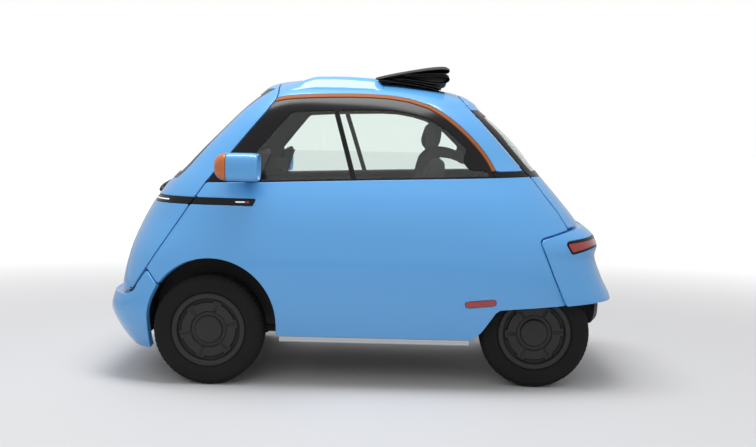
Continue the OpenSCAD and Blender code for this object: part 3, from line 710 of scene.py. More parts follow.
for piece_name, room_of, depth, finish, slot_name, stands, inset, heights, rows in (
        ("window_edge", frame_room, 7, black_glass, "black_gloss", "window_frames", 1.0,
            (1402, 960), 58),
        ("window_bar", bar_room, 16, black_glass, "black_gloss", None, -1.0, (1402, 960), 58),
        ("window_pane", pane_room, 4, glass_clear, "glazing", "side_windows", 4.0,
            (1402, 960), 58),
        ("belt_band", band_room, 10, black_glass, "black_gloss", None, 1.0, (1402, 1010), 58),
        ("window_seal", seal_room, 36, black_glass, "black_gloss", None, 2.0, (1035, 965), 34)):
    left = trimmed_panel(piece_name + "_left", cabin_form, room_of, heights, (38, 150),
        (rows, 170), thick=depth, bend=1.2, inset=inset)
    both_sides(left, finish, stands)

# ---- Window trim strips ----
# A raised orange strip follows the top and rear of each side window. It is a painted
# moulding, bonded to the roof panel.
accent_orange = finished("accent_orange", (0.50, 0.125, 0.016), 0.4, grain_scale=420,
    strength=0.05, dusty=0.05, coat=0.5)


def strip_room(points):
    return least(8.2 - np.abs(within(points, window_outline) - 10),
        clear_of(points, door_outline, half_shut) - 2, over_belt(points) - band_height - 2)


strip_left = trimmed_panel("roof_strip_left", cabin_form, strip_room, (1425, 1020), (44, 150),
    (90, 300), thick=12, bend=3.0, inset=-3.0)
# Its orange is a darker copy of the pods' orange. This is partly painted shade, offsetting the light
# the strip catches from the lamp over the car, and partly the fine dark lines along the real strip.
strip_orange = finished("strip_orange", (0.30, 0.088, 0.022), 0.55, grain_scale=420,
    strength=0.05, dusty=0.02, shine=0.2)
both_sides(strip_left, strip_orange, "roof_strips")

# ---- Windscreen ----
# A wide curved screen of laminated glass, bonded into the door. It is clear in the
# middle and has a black printed edge.
edge_print = 30


def screen_room(points):
    return in_screen(points) - edge_print + 4


def screen_edge_room(points):
    return least(in_screen(points) - 1, edge_print - in_screen(points))


screen = trimmed_panel("windscreen_pane", cabin_form, screen_room, (1440, 975), (-60, 60),
    (60, 130), thick=5, bend=1.0, inset=5.5)
dress(screen, "front_door", glass_clear, "windscreen")
screen_edge = trimmed_panel("windscreen_edge", cabin_form, screen_edge_room, (1445, 972),
    (-62, 62), (66, 150), thick=4, bend=1.2, inset=1.0)
dress(screen_edge, "front_door", black_glass)

# ---- Rear glass ----
# One curved pane bonded into the tailgate, which it fills from side to side. Its edges
# are printed black.


def rear_edge(points):
    return least(tail_glass(points) - 1, within(points, tail_outline, half_shut))


def rear_clear(points):
    width = 470 - 0.42 * (points[:, 2] - glass_foot)
    return least(rear_edge(points) - 26, width - np.abs(points[:, 1]))


rear_pane = trimmed_panel("rear_glass_pane", cabin_form, lambda p: rear_clear(p) + 4,
    (1355, 1010), (112, 248), (50, 130), thick=5, bend=1.0, inset=5.5)
dress(rear_pane, "tailgate", glass_clear, "rear_window")
rear_rim = trimmed_panel("rear_glass_edge", cabin_form,
    lambda p: least(rear_edge(p), -rear_clear(p)), (1355, 1010), (100, 260), (60, 190),
    thick=4, bend=1.2, inset=1.0)
dress(rear_rim, "tailgate", black_glass)

# ---- Front lamp slot ----
# A dark slot runs across the door and on into both sides: a slim lit line in front,
# and at each side a white marker that ends in a small red one.
lamp_white = new_material("lamp_white", (0.86, 0.88, 0.9), 0.2, Coat_Weight=1.0,
    Emission_Color=(0.9, 0.95, 1, 1), Emission_Strength=0.25)[0]


def slot_line(points):
    return 3.0 - np.abs(points[:, 2] - slot_height)


def door_lamp_room(points):
    return least(within(points, door_outline, half_shut), 15.5 - np.abs(points[:, 2] - slot_height))


door_lamp = trimmed_panel("door_lamp_slot", cabin_form, door_lamp_room, (912, 856), (-80, 80),
    (10, 170), thick=12, bend=1.5, inset=2.0)
dress(door_lamp, "front_door", black_glass, "door_light_strip")
door_line = trimmed_panel("door_lamp_line", cabin_form,
    lambda p: least(slot_line(p), 560 - np.abs(p[:, 1])), (890, 878), (-60, 60), (6, 140),
    thick=3, bend=0.6, inset=0.5)
dress(door_line, "front_door", lamp_white)
side_slot = trimmed_panel("side_lamp_slot_left", cabin_form,
    lambda p: least(within(p, side_lamp_outline, 0.5), clear_of(p, door_outline, half_shut)),
    (912, 856), (25, 80), (10, 90),
    thick=12, bend=1.5, inset=2.0)
lens_red = finished("lens_red", (0.30, 0.010, 0.012), 0.16, grain_scale=90, strength=0.03,
    dusty=0.03, coat=1.0)
marker_white = trimmed_panel("marker_white_left", cabin_form,
    lambda p: least(slot_line(p), p[:, 0] - 540, 586 - p[:, 0]), (891, 877),
    (30, 75), (6, 60), thick=3, bend=0.6, inset=0.5)
marker_red = trimmed_panel("marker_red_left", cabin_form,
    lambda p: least(slot_line(p) + 2, p[:, 0] - 519, 538 - p[:, 0]), (893, 875),
    (30, 75), (8, 80), thick=3, bend=0.6, inset=0.5)
both_sides(side_slot, black_glass, "side_light_strips")
both_sides(marker_white, lamp_white)
both_sides(marker_red, lens_red)

# ---- Side reflectors ----
# Slim red reflectors in the lower rear of each side: one moulded plastic lens each,
# pressed into a cut-out of the side panel.
reflector = trimmed_panel("reflector_left", cabin_form,
    lambda p: within(p, reflector_outline, 0.5), (460, 395), (95, 150), (12, 110),
    thick=8, bend=2.0, inset=-0.5)
both_sides(reflector, lens_red, "side_reflectors")

# ---- Tail lamps ----
# A red lens sits in a black surround in each rear corner and runs round to the back.
# Both are moulded plastic, held in the rear bumper.


def lens_room(points):
    return least(lamp_surround(points) - 9, within(points + (0, 0, 3), lamp_outline, 8))


surround = trimmed_panel("tail_lamp_surround", bumper_form,
    lambda p: least(lamp_surround(p) - 0.5, -lens_room(p) - 0.3), (752, 650), (112, 248),
    (18, 260), thick=22, bend=1.5, inset=1.5)
dress(surround, "body", black_glass)
lens = trimmed_panel("tail_lamp_lens", bumper_form, lens_room, (752, 650), (112, 248), (18, 260),
    thick=12, bend=2.0, inset=3.0)
dress(lens, "body", lens_red, "tail_lamps")

# ---- Tyres ----
# Moulded rubber tyres with a plain sidewall, a rim rib, three grooves round the tread
# and cross cuts at both shoulders. They stand on the floor at their lowest point.
rubber = finished("tyre_rubber", (0.008, 0.008, 0.0085), 0.8, grain_scale=700, strength=0.35,
    grain_depth=0.0006, dusty=0.02, dust_top=0.9, shine=0.2)
front_x, rear_x, wheel_radius = 711, -862, 266.5
wheels = [("front_left", front_x, 625, "wheel_front_left", 0),
    ("front_right", front_x, -625, "wheel_front_right", 25),
    ("rear_left", rear_x, 515, "wheel_rear_left", 9),
    ("rear_right", rear_x, -515, "wheel_rear_right", 40)]


def circle(steps):
    """Even turns round a circle."""
    return np.linspace(0, 2 * np.pi, steps + 1)[:-1]


def sleeve(rows, count, closed=False, ends=False):
    """The faces of a tube: rows rings of count points, joined up or with flat ends."""
    faces = [(i * count + j, i * count + (j + 1) % count, (i + 1) % rows * count
        + (j + 1) % count, (i + 1) % rows * count + j) for i in range(rows if closed else
        rows - 1) for j in range(count)]
    if ends:
        faces += [tuple(range(count))[::-1], tuple(range((rows - 1) * count, rows * count))]
    return faces


def smoothed(name, points, faces):
    """An object whose four-sided faces are shaded smooth, and its flat ends flat."""
    made = object_from(name, points, faces)
    made.data.polygons.foreach_set("use_smooth", [len(f) == 4 for f in faces])
    return made


def plain_rings(line, steps):
    """The radius and outboard depth of every point of a turned line, before any cuts."""
    return (np.repeat(np.array(line, float)[:, i:i + 1], steps, axis=1) for i in range(2))


def turned(name, radius, out, place):
    """A wheel part from rings of points: radius and outboard depth, by row and angle."""
    x, y, phase = place
    rows, steps = radius.shape
    angle = np.radians(phase) + 2 * np.pi * np.arange(steps) / steps
    side = 1 if y > 0 else -1
    points = np.stack([x + radius * np.cos(angle), y + side * out,
        wheel_radius + radius * np.sin(angle)], axis=-1).reshape(-1, 3)
    return smoothed(name, points, [f[::side] for f in
        sleeve(rows, steps, closed=True)])


tyre_line = [(165.3, -59.7), (172, -59.7), (178, -59.9), (181, -64), (184, -67.5), (187, -69.2),
    (191, -69.5), (196, -70.4), (206, -72), (216, -72.4), (226, -72), (236, -71), (238, -71.9),
    (241, -71.8), (243, -70.6), (249, -67.6), (254, -64.6), (258.5, -61), (261.5, -58.5),
    (263.6, -54), (265.2, -48), (266.2, -42), (266.4, -36), (266.4, -33), (260.8, -32.2),
    (260.8, -27.8), (266.5, -27), (266.5, -20), (266.5, -12), (266.5, -5), (260.8, -4.2),
    (260.8, 4.2)]
tyre_line += [(r, -y) for r, y in reversed(tyre_line[:-1])]
tyre_steps = 396
for name, x, y, body, phase in wheels:
    radius, out = plain_rings(tyre_line, tyre_steps)
    column = np.arange(tyre_steps)
    shoulder = (np.abs(out) > 38) & (np.abs(out) < 66) & (radius > 252)
    cut = np.where(column[None, :] % 6 == 0, 4.2, 0.0) * shoulder
    middle = (np.abs(out) > 8) & (np.abs(out) < 26) & (radius > 262)
    cut = cut + np.where((column[None, :] + 3) % 12 == 0, 3.0, 0.0) * middle
    wall_rib = (radius > 187) & (radius < 236) & (column[None, :] % 2 == 0)
    tyre = turned("tyre_" + name + "_moulded", radius - cut, out * (1 - 0.002 * wall_rib),
        (x, y, phase))
    outfit(tyre, rubber, body, "tyre_" + name)

# ---- Wheels ----
# Satin black wheels: a wide lip, six broad plates parted by narrow grooves, dark slots
# outside the plates and a plain domed cap in the middle.
rim_black = finished("rim_black", (0.015, 0.015, 0.016), 0.42, grain_scale=500, strength=0.12,
    dusty=0.02, dust_top=0.9, coat=0.06, coat_roughness=0.3, shine=0.35)
face_line = [(0.02, 56), (5, 56), (20, 55.7), (40, 55), (55, 54), (60, 53.4), (63, 52.3), (65, 50.5),
    (66, 47.5), (66.6, 42), (68, 40.3), (74, 40), (80, 40), (83, 40.4), (85, 42), (86, 46),
    (87.5, 48.4), (90, 49.6), (96, 50.4), (104, 51), (112, 51.5), (120, 52), (127, 52.4),
    (129, 52.3), (130.5, 51.4), (132, 49), (133, 46), (135, 45), (138, 45), (140, 45.2),
    (141.5, 46.5), (143, 44), (145, 43.5), (147, 44), (148.5, 48), (149.5, 55), (151, 60.5),
    (153, 62.8), (157, 64.6), (162, 65.6), (168, 66), (172, 65.8), (175, 64.6), (176.6, 62.6),
    (176.8, 61.2), (175, 60.2), (165, 59.9), (164.6, 52), (158, 40), (156, 20), (156, -20),
    (158, -45), (164.6, -56), (165, -60), (175, -60.2), (176.8, -61.5), (175.6, -64.6),
    (172, -65.9), (160, -66), (157, -64), (153, -40), (150, 10), (147, 32), (140, 36),
    (128, 37), (120, 30), (105, 28.2), (70, 28), (34, 28), (31.2, 28.6), (30.8, 31),
    (30.6, 48), (29, 49.4), (20, 50), (0.02, 50)]
rim_steps, face_rows = 180, 43  # points round the wheel, and rows of its outer face
groove_half, groove_slope, groove_deep = 3.2, 3.5, 7.0
for name, x, y, body, phase in wheels:
    radius, out = plain_rings(face_line, rim_steps)
    turn = 360 * np.arange(rim_steps) / rim_steps
    from_line = np.abs((turn + 12 + 30) % 60 - 30)[None, :]
    front = np.arange(len(face_line))[:, None] < face_rows
    plate = front & (radius > 86) & (radius < 131)
    edge = np.clip((from_line * np.pi / 180 * radius - groove_half) / groove_slope, 0, 1)
    out = np.where(plate, out - (1 - edge) * groove_deep, out)
    bridge = front & (radius > 130) & (radius < 142)
    lifted = np.clip((11 - from_line) / 2.5, 0, 1)
    ridge = np.clip((np.abs(from_line * np.pi / 180 * radius) - 2.5) / 2.5, 0, 1)
    out = np.where(bridge, out + lifted * (51.5 - out) * (0.45 + 0.55 * ridge), out)
    slot_deep = front & (radius > 132) & (radius < 141)
    out = np.where(slot_deep, out - (1 - lifted) * 5.5, out)
    rim = turned("rim_" + name + "_cast", radius, out, (x, y, phase))
    outfit(rim, rim_black, body, "rim_" + name)
    stem = np.array([(0.3, 60), (3.4, 60), (3.9, 59), (3.9, 52), (3.2, 51), (3.2, 42), (0.3, 42)])
    ring = circle(12)
    side = 1 if y > 0 else -1
    at = np.radians(phase + 18)
    middle = np.array([x + 146 * np.cos(at), wheel_radius + 146 * np.sin(at)])
    points = [(middle[0] + r * np.cos(t), y + side * o, middle[1] + r * np.sin(t))
        for r, o in stem for t in ring]
    valve = object_from("valve_" + name, points, [f[::side] for f in
        sleeve(len(stem), len(ring), ends=True)])
    outfit(valve, rubber, body)

# ---- Mirror and headlamp pods ----
# Each pod is a rounded shell on a short arm: blue behind, an orange ring round a
# headlamp in front, and a rounded driving mirror in its rear face.
satin_black = finished("satin_black_plastic", (0.02, 0.02, 0.022), 0.5, grain_scale=900,
    strength=0.35, grain_depth=0.0003, dusty=0.1, dust_top=1.4)
pod_middle = (570, 745, 1052)
chrome = new_material("reflector_chrome", (0.88, 0.88, 0.9), 0.08, 1.0)[0]
mirror_glass = new_material("mirror_glass", (0.8, 0.85, 0.88), 0.03, 1.0)[0]
lamp_glass = new_material("lamp_glass", (0.97, 0.98, 1), 0.02, Transmission_Weight=1.0)[0]


def rounded(steps, power):
    """A round section of half width 1: power 2 is a circle, and a higher one is squarer."""
    u, v = np.cos(circle(steps)), np.sin(circle(steps))
    ring = (np.abs(u) ** power + np.abs(v) ** power) ** (1 / power)
    return u / ring, v / ring


def pod_part(name, stations, side, steps=72):
    """A loft along the car: stations are distance ahead, half width, half height, squareness."""
    points = []
    for ahead, wide, tall, power in stations:
        u, v = rounded(steps, power)
        points.append(np.stack([np.full(steps, pod_middle[0] + ahead),
            pod_middle[1] + wide * u, pod_middle[2] + tall * v], axis=-1))
    points = np.concatenate(points) * (1, side, 1)
    return smoothed(name, points, [f[::side] for f in sleeve(len(stations), steps, ends=True)])


shell_line = [(-91, 55, 47, 2.6), (-93, 57, 49, 2.7), (-98, 60, 52, 2.9), (-102, 63, 55, 3.0),
    (-104, 66, 58, 3.2), (-104.5, 68, 60, 3.3), (-103, 70.5, 62.5, 3.5), (-99, 72.3, 64.4, 3.6),
    (-92, 73.6, 65.8, 3.7), (-80, 74.4, 66.6, 3.7), (-50, 74.9, 67, 3.7), (0, 74.8, 66.9, 3.6),
    (35, 73.8, 66, 3.5), (42, 73.4, 65.6, 3.5), (44, 72.4, 64.6, 3.5), (44.5, 70.5, 62.7, 3.5)]
ring_line = [(46.0, 69, 61, 3.4), (46.5, 71.3, 63.3, 3.4), (48.5, 72.6, 64.8, 3.4),
    (58, 71.4, 63.8, 3.2), (68, 68.6, 61.6, 2.9), (77, 64.4, 58.4, 2.6), (85, 58.8, 54.2, 2.3),
    (91, 52.6, 49.6, 2.1), (95.5, 46.8, 45.4, 2.0), (98.5, 42.2, 41.8, 2.0), (100, 40, 40, 2.0),
    (99.6, 38.6, 38.6, 2.0), (97.5, 38, 38, 2.0), (88, 37.8, 37.8, 2.0), (87, 22, 22, 2.0)]
seal_line = [(44.6, 60, 52, 3.4), (44.6, 69.5, 61.7, 3.4), (45.9, 69.5, 61.7, 3.4),
    (45.9, 60, 52, 3.4)]
bowl_line = [(88.5, 37.3, 37.3, 2), (96, 37.3, 37.3, 2), (96, 36, 36, 2), (93, 30, 30, 2),
    (90.6, 20, 20, 2), (89.8, 11, 11, 2), (89.6, 2, 2, 2)]
led_line = [(90.8, 22, 22, 2), (93.8, 21.6, 21.6, 2), (94.4, 20.4, 20.4, 2), (94, 18, 18, 2),
    (90.4, 17, 17, 2)]
lens_line = [(96.6, 37.2, 37.2, 2), (98, 36.8, 36.8, 2), (99.8, 33.4, 33.4, 2),
    (101.2, 27, 27, 2), (102.2, 18, 18, 2), (102.7, 9, 9, 2), (102.8, 1, 1, 2)]
glass_line = [(-92.5, 54, 46, 2.6), (-94.5, 53.6, 45.6, 2.6), (-95.2, 52, 44, 2.6)]
for side, side_name in car_sides:
    for part_name, line, finish, slot_name, stands in (
            ("pod_shell", shell_line, paint_blue, "body_paint", "mirror_pods"),
            ("pod_joint", seal_line, satin_black, "black_trim", None),
            ("pod_ring", ring_line, accent_orange, "accent_orange", None),
            ("lamp_bowl", bowl_line, chrome, "lamp_clear", "headlamps"),
            ("lamp_inner_ring", led_line, lamp_white, "lamp_clear", None),
            ("lamp_lens", lens_line, lamp_glass, "lamp_clear", None),
            ("driving_mirror", glass_line, mirror_glass, "aluminium_cast", None)):
        piece = pod_part(part_name + "_" + side_name, line, side)
        outfit(piece, finish, "body", stands)

# ---- Pod arms ----
# Black moulded arms: each grows from a three-cornered plate in the window's front
# corner and carries its pod. A small black knob latches the window beside it.
arm_line = [(598, 44, 30), (606, 42, 29), (620, 36, 26), (640, 32, 24), (656, 33, 25),
    (667, 38, 28), (672, 44, 33)]
arm_ahead, arm_height = 518, 1034
corner_plate = [(496, 960), (496, 1117), (486, 1121), (421, 1117), (366, 1099), (360, 1091),
    (358, 960)]
for side, side_name in car_sides:
    u, v = rounded(40, 4)
    rows = [np.stack([arm_ahead + 0.1 * (y - 600) + wide * u, np.full(40, side * y),
        arm_height + tall * v], axis=-1) for y, wide, tall in arm_line]
    faces = [(40 * i + j, 40 * i + 40 + j, 40 * i + 40 + (j + 1) % 40, 40 * i + (j + 1) % 40)
        for i in range(len(arm_line) - 1) for j in range(40)]
    faces += [tuple(range(40)), tuple(range(40 * len(arm_line) - 40, 40 * len(arm_line)))[::-1]]
    arm = smoothed("pod_arm_" + side_name, np.concatenate(rows), [f[::side] for f in faces])
    outfit(arm, satin_black, "body", "pod_arms")
    ball = [(0.3, -16), (8, -13.8), (13, -9.2), (15.6, -3), (15.8, 3), (13.4, 8.6), (8, 13),
        (5.6, 15), (5.2, 18), (5.2, 34), (8, 36), (8.4, 40), (0.3, 40)]
    spin = circle(24)
    base, lean = np.array([452, 538, 1120]), np.array([0.55, 0.83, 0.0])
    flat, up = np.cross(lean, (0, 0, 1)), np.array([0, 0, 1])
    points = np.array([base + lean * along + r * (np.cos(t) * flat + np.sin(t) * up)
        for r, along in ball for t in spin]) * (1, side, 1)
    knob = smoothed("window_knob_" + side_name, points, [f[::-side] for f in
        sleeve(len(ball), len(spin))])
    outfit(knob, satin_black, "body")

plate_left = trimmed_panel("corner_plate_left", cabin_form,
    lambda p: least(within(p, corner_plate), over_belt(p) - 9), (1130, 970), (35, 75),
    (30, 70), thick=9, bend=2.5, inset=0.2)
both_sides(plate_left, satin_black)

# ---- Bumper ledges ----
# Each bumper turns in at its top and runs under the door or the tailgate, so no gap
# shows between them. It is the bumper's own painted flange.


def strip_faces(count, steps):
    """The faces of a strip whose section has count points, each a line of steps points."""
    faces = [(i * steps + j, i * steps + j + 1, (i + 1) % count * steps + j + 1,
        (i + 1) % count * steps + j) for i in range(count) for j in range(steps - 1)]
    return faces + [tuple(i * steps for i in range(count)), tuple(i * steps + steps - 1
        for i in reversed(range(count)))]


def ledge(name, outline, turns, steps, tuck):
    turn = np.radians(np.linspace(turns[0], turns[1], steps))
    low, high = np.full(steps, depth_key(830.0)), np.full(steps, depth_key(380.0))
    for _ in range(26):
        middle = (low + high) / 2
        under = within(on_form(bumper_form, middle, turn), outline) > half_shut + 3
        high, low = np.where(under, middle, high), np.where(under, low, middle)
    edge = on_form(bumper_form, high, turn) - form_normal(bumper_form, high, turn) * 3
    body_skin = on_form(cabin_form, high, turn) - form_normal(cabin_form, high, turn) * tuck
    body_skin[:, 2] = edge[:, 2] - 5
    rows = [edge, edge + (body_skin - edge) * 0.3 - (0, 0, 1.5), body_skin]
    rows += [row - (0, 0, 4) for row in reversed(rows)]
    points = np.concatenate(rows)
    made = object_from(name, points, strip_faces(len(rows), steps))
    outfit(made, paint_blue, "body")
    return made


ledge("front_bumper_ledge", nose_outline, (-43, 43), 120, 36)
ledge("rear_bumper_ledge", rump_outline, (132, 228), 160, 40)

# ---- Roof fabric ----
# One black sheet of coated canvas, held at its rear edge on the roof. It lies folded
# back in soft pleats behind the roof opening.
canvas = finished("roof_canvas", (0.013, 0.013, 0.014), 0.8, grain_scale=1400, strength=0.6,
    grain_depth=0.0006, dusty=0.1, dust_top=2.6, detail=4)
fold_line = [(-58, 1510), (-100, 1506), (-180, 1498), (-280, 1480), (-372, 1458), (-404, 1452),
    (-402, 1460), (-370, 1472), (-300, 1490), (-200, 1506), (-150, 1512), (-160, 1517),
    (-210, 1514), (-300, 1500), (-370, 1492), (-412, 1493), (-430, 1502), (-438, 1516),
    (-436, 1530), (-420, 1538), (-360, 1534), (-280, 1532), (-210, 1531), (-180, 1535),
    (-205, 1541), (-290, 1543), (-370, 1546), (-424, 1546), (-438, 1553), (-440, 1563),
    (-432, 1571), (-404, 1574), (-330, 1567), (-240, 1551), (-160, 1535), (-104, 1522),
    (-64, 1511)]


def eased(line, count):
    """A smooth path of evenly spaced points through given ones."""
    knots = np.array(line, float)
    walked = np.concatenate([[0], np.cumsum(np.hypot(*np.diff(knots, axis=0).T))])
    fine = np.linspace(0, walked[-1], count * 8)
    path = np.stack([np.interp(fine, walked, knots[:, i]) for i in range(2)], axis=-1)
    for _ in range(220):
        path[1:-1] = (path[:-2] + 2 * path[1:-1] + path[2:]) / 4
    walked = np.concatenate([[0], np.cumsum(np.hypot(*np.diff(path, axis=0).T))])
    even = np.linspace(0, walked[-1], count)
    return np.stack([np.interp(even, walked, path[:, i]) for i in range(2)], axis=-1), walked[-1]


canvas_path, canvas_length = eased(fold_line, 130)
canvas_half, canvas_columns = 338, 56
across = np.linspace(-1, 1, canvas_columns)
along = np.diff(canvas_path, axis=0, prepend=canvas_path[:1] - (canvas_path[1:2] - canvas_path[:1]))
along /= np.linalg.norm(along, axis=1, keepdims=True)
canvas_normal = np.stack([-along[:, 1], along[:, 0]], axis=-1)
sides = []
for face in (0.9, -0.9):
    grid = []
    for row, (place, normal) in enumerate(zip(canvas_path, canvas_normal)):
        ripple = 2.2 * np.sin(across * 7 + row * 0.13) * np.sin(row * 0.05 + 1)
        crown = -np.abs(across) ** 2.4 * (16 + 10 * (place[1] - 1450) / 120)
        shift = ripple * 0.5 + face
        half = canvas_half - 5 * np.sin(row * 0.19) ** 2
        grid.append(np.stack([place[0] + normal[0] * shift, across * half,
            place[1] + normal[1] * shift + crown], axis=-1))
    sides.append(np.array(grid))
rows, columns = len(canvas_path), canvas_columns
points = np.concatenate([s.reshape(-1, 3) for s in sides])
faces = []
for layer, flip in ((0, 1), (rows * columns, -1)):
    for i in range(rows - 1):
        for j in range(columns - 1):
            a = layer + i * columns + j
            faces.append((a, a + 1, a + columns + 1, a + columns)[::-flip])
lap = rows * columns
border = ([i * columns for i in range(rows)] + [(rows - 1) * columns + j for j in
    range(1, columns)] + [i * columns + columns - 1 for i in range(rows - 2, -1, -1)]
    + [j for j in range(columns - 2, 0, -1)])
for a, b in zip(border, border[1:] + border[:1]):
    faces.append((a, b, b + lap, a + lap))
canvas_roof = object_from("roof_canvas_folded", points, faces)
canvas_roof.data.polygons.foreach_set("use_smooth", [True] * len(faces))
outfit(canvas_roof, canvas, "body", "roof_fabric")

# ---- Roof opening rails ----
# A painted raised rail along each side of the roof opening, which the canvas seals on.
# It is pressed in one with the roof skin.


def rounded_rail(name, side):
    """A rail that grows out of the roof skin and is as high as the roof's middle."""
    stations, rows = 73, []
    for x in np.linspace(-100, 385, stations):
        lift = np.clip(min((x + 100) / 45, (385 - x) / 160), 0, 1)
        lift = lift * lift * (3 - 2 * lift)
        crest = np.interp(x, (-100, -40, 60, 130, 220, 300, 352, 420), (1491, 1495, 1500, 1500.6,
            1499, 1494, 1489, 1478))
        inner, outer = (skin_height(x, side * y) for y in (324, 405))
        top = inner + max(crest - inner, 0) * lift
        rows.append([(x, side * 322, inner - 4), (x, side * 322, (inner + top) / 2),
            (x, side * 324, top - 2), (x, side * 331, top), (x, side * 343, top - 1.5),
            (x, side * 366, outer + (top - outer) * 0.66),
            (x, side * 388, outer + (top - outer) * 0.27), (x, side * 405, outer - 1),
            (x, side * 405, outer - 5), (x, side * 345, inner - 8)])
    count = len(rows[0])
    points = np.array(rows).reshape(-1, 3)
    return smoothed(name, points, [f[::side] for f in sleeve(stations, count, ends=True)])


def skin_height(x, y):
    hit, spot = roof.ray_cast((x * 0.001, y * 0.001, 1.7), (0, 0, -1))[:2]
    if not hit:
        spot = roof.closest_point_on_mesh((x * 0.001, y * 0.001, 1.48))[1]
    return spot.z * 1000


for side, side_name in car_sides:
    rail = rounded_rail("roof_opening_rail_" + side_name, side)
    outfit(rail, paint_blue, "body")

# ---- Wiper ----
# A black blade on one arm, parked low across the foot of the windscreen. Its pivot is
# on the front door, under the glass.


def rod(name, path, wide, tall, power=2.0, steps=16):
    """A bar along a path of points, with a rounded section that may change on the way."""
    path = np.array(path, float)
    count = len(path)
    wide, tall = (np.broadcast_to(np.asarray(v, float), (count,)) for v in (wide, tall))
    ahead = np.gradient(path, axis=0)
    ahead /= np.linalg.norm(ahead, axis=1, keepdims=True)
    u, v = rounded(steps, power)
    up = np.array([0, 0, 1]) if np.abs(ahead[:, 2]).max() < 0.95 else np.array([0, 1, 0])
    points = []
    for i in range(count):
        flat = np.cross(ahead[i], up)
        flat /= np.linalg.norm(flat)
        rise = np.cross(flat, ahead[i])
        points.append(path[i] + wide[i] * u[:, None] * flat + tall[i] * v[:, None] * rise)
    return smoothed(name, np.concatenate(points), sleeve(count, steps, ends=True))


def over_screen(y, z, off):
    """A point in front of the door's skin at a height and a distance from the middle."""
    k = depth_key(float(z))
    turns = np.radians(np.linspace(-75, 75, 301))
    ring = on_form(cabin_form, np.full(301, k), turns)
    turn = np.interp(y, ring[:, 1], turns)
    spot = on_form(cabin_form, np.array([k]), np.array([turn]))[0]
    return spot + off * form_normal(cabin_form, np.array([k]), np.array([turn]))[0]


blade_path = [over_screen(y, 928 + (250 - y) * 0.15, 9) for y in np.linspace(250, -160, 18)]
arm_path = [over_screen(y, z, off) for y, z, off in ((265, 912, 6), (240, 917, 14),
    (180, 926, 19), (110, 938, 20), (50, 951, 18), (30, 957, 13))]
pivot_path = [over_screen(262, 912, off) for off in (1, 6, 14, 17)]
wiper_blade = rod("wiper_blade", blade_path, 4.5, 7, 3)
wiper_arm = rod("wiper_arm", arm_path, [10, 10, 8, 6, 5, 5], [6, 6, 5, 4, 4, 4], 3)
wiper_pivot = rod("wiper_pivot", pivot_path, [15, 15, 13, 8], [15, 15, 13, 8])
for piece in (wiper_blade, wiper_arm, wiper_pivot):
    outfit(piece, satin_black, "front_door")
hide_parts("wiper")

# ---- Sill strips ----
# Bright metal strips with a rolled lower lip, along the foot of each side. Each is one
# rolled length, clipped over the sill.
sill_metal = finished("sill_metal", (0.62, 0.64, 0.66), 0.34, metallic=0.9, grain_scale=120,
    strength=0.1, dusty=0.3, dust_top=0.5)
for side, side_name in car_sides:
    xs = np.linspace(-541, 371, 70)
    outer = side_reach(cabin_form, xs, np.full(len(xs), 232.0))
    section = [(-3.5, 0.3), (-3.2, 8), (-5.0, 12), (-3.4, 16), (-3.4, 21), (-6, 25), (-14, 27),
        (-24, 27), (-24, 24.5), (-14, 24.3), (-9, 22), (-7.5, 16), (-7.5, 8), (-7.5, 0.3)]
    points = [(x, side * (o + d), 239.4 - down) for d, down in section for x, o in zip(xs, outer)]
    strip = object_from("sill_strip_" + side_name, points, [f[::-side] for f in
        strip_faces(len(section), len(xs))])
    outfit(strip, sill_metal, "body", "sill_strips")

# ---- Belt rails ----
# A black moulding inside each side wall covers its painted upper edge, under the glass.
# It is clipped on along its whole length.
for side, side_name in car_sides:
    xs = np.linspace(-800, 455, 60)
    belt = np.interp(xs, belt_line[:, 0], belt_line[:, 1])
    reach = side_reach(cabin_form, xs, belt)
    belt_rail = rod("belt_rail_" + side_name, [(x, side * (r - 30), z - 6) for x, r, z in
        zip(xs, reach, belt)], 17, 11, 5)
    outfit(belt_rail, satin_black, "body")

# ---- Tailgate fittings ----
# A slim high brake lamp, a black release handle below it, and a plain blank plate
# panel on the rear bumper between the lamps.


def rear_panel(name, form, room, heights, turns, grid, thick, bend, out, body, finish):
    made = trimmed_panel(name, form, room, heights, turns, grid, thick=thick, bend=bend, inset=-out)
    dress(made, body, finish)


def slot_room(z, half_height, half_width):
    def room(points):
        tall = np.abs(points[:, 2] - z) - (half_height - 6)
        wide = np.abs(points[:, 1]) - (half_width - 6)
        outside = np.hypot(np.maximum(tall, 0), np.maximum(wide, 0))
        return 6 - outside - np.minimum(np.maximum(tall, wide), 0)
    return room


rear_panel("high_brake_lamp", cabin_form, slot_room(893, 9, 62), (908, 878), (168, 192), (8, 60),
    6, 2, 3.5, "tailgate", lens_red)
rear_panel("tailgate_handle", cabin_form, slot_room(806, 11, 75), (823, 790), (165, 195), (8, 70),
    7, 3, 5.0, "tailgate", satin_black)
rear_panel("blank_plate", bumper_form, slot_room(580, 62, 175), (650, 510), (150, 210), (20, 90),
    6, 2, 2.5, "body", satin_black)

# ---- Bench seat ----
# One bench with two places: foam under dark woven cloth, with a piped edge and sewn
# channels. The pads are let swell a little by a short cloth simulation.
cloth = finished("seat_cloth", (0.036, 0.037, 0.04), 0.9, grain_scale=900, strength=0.7,
    grain_depth=0.0008, dusty=0.05, detail=5)
piping = finished("seat_piping", (0.02, 0.02, 0.022), 0.7, grain_scale=700, strength=0.3)


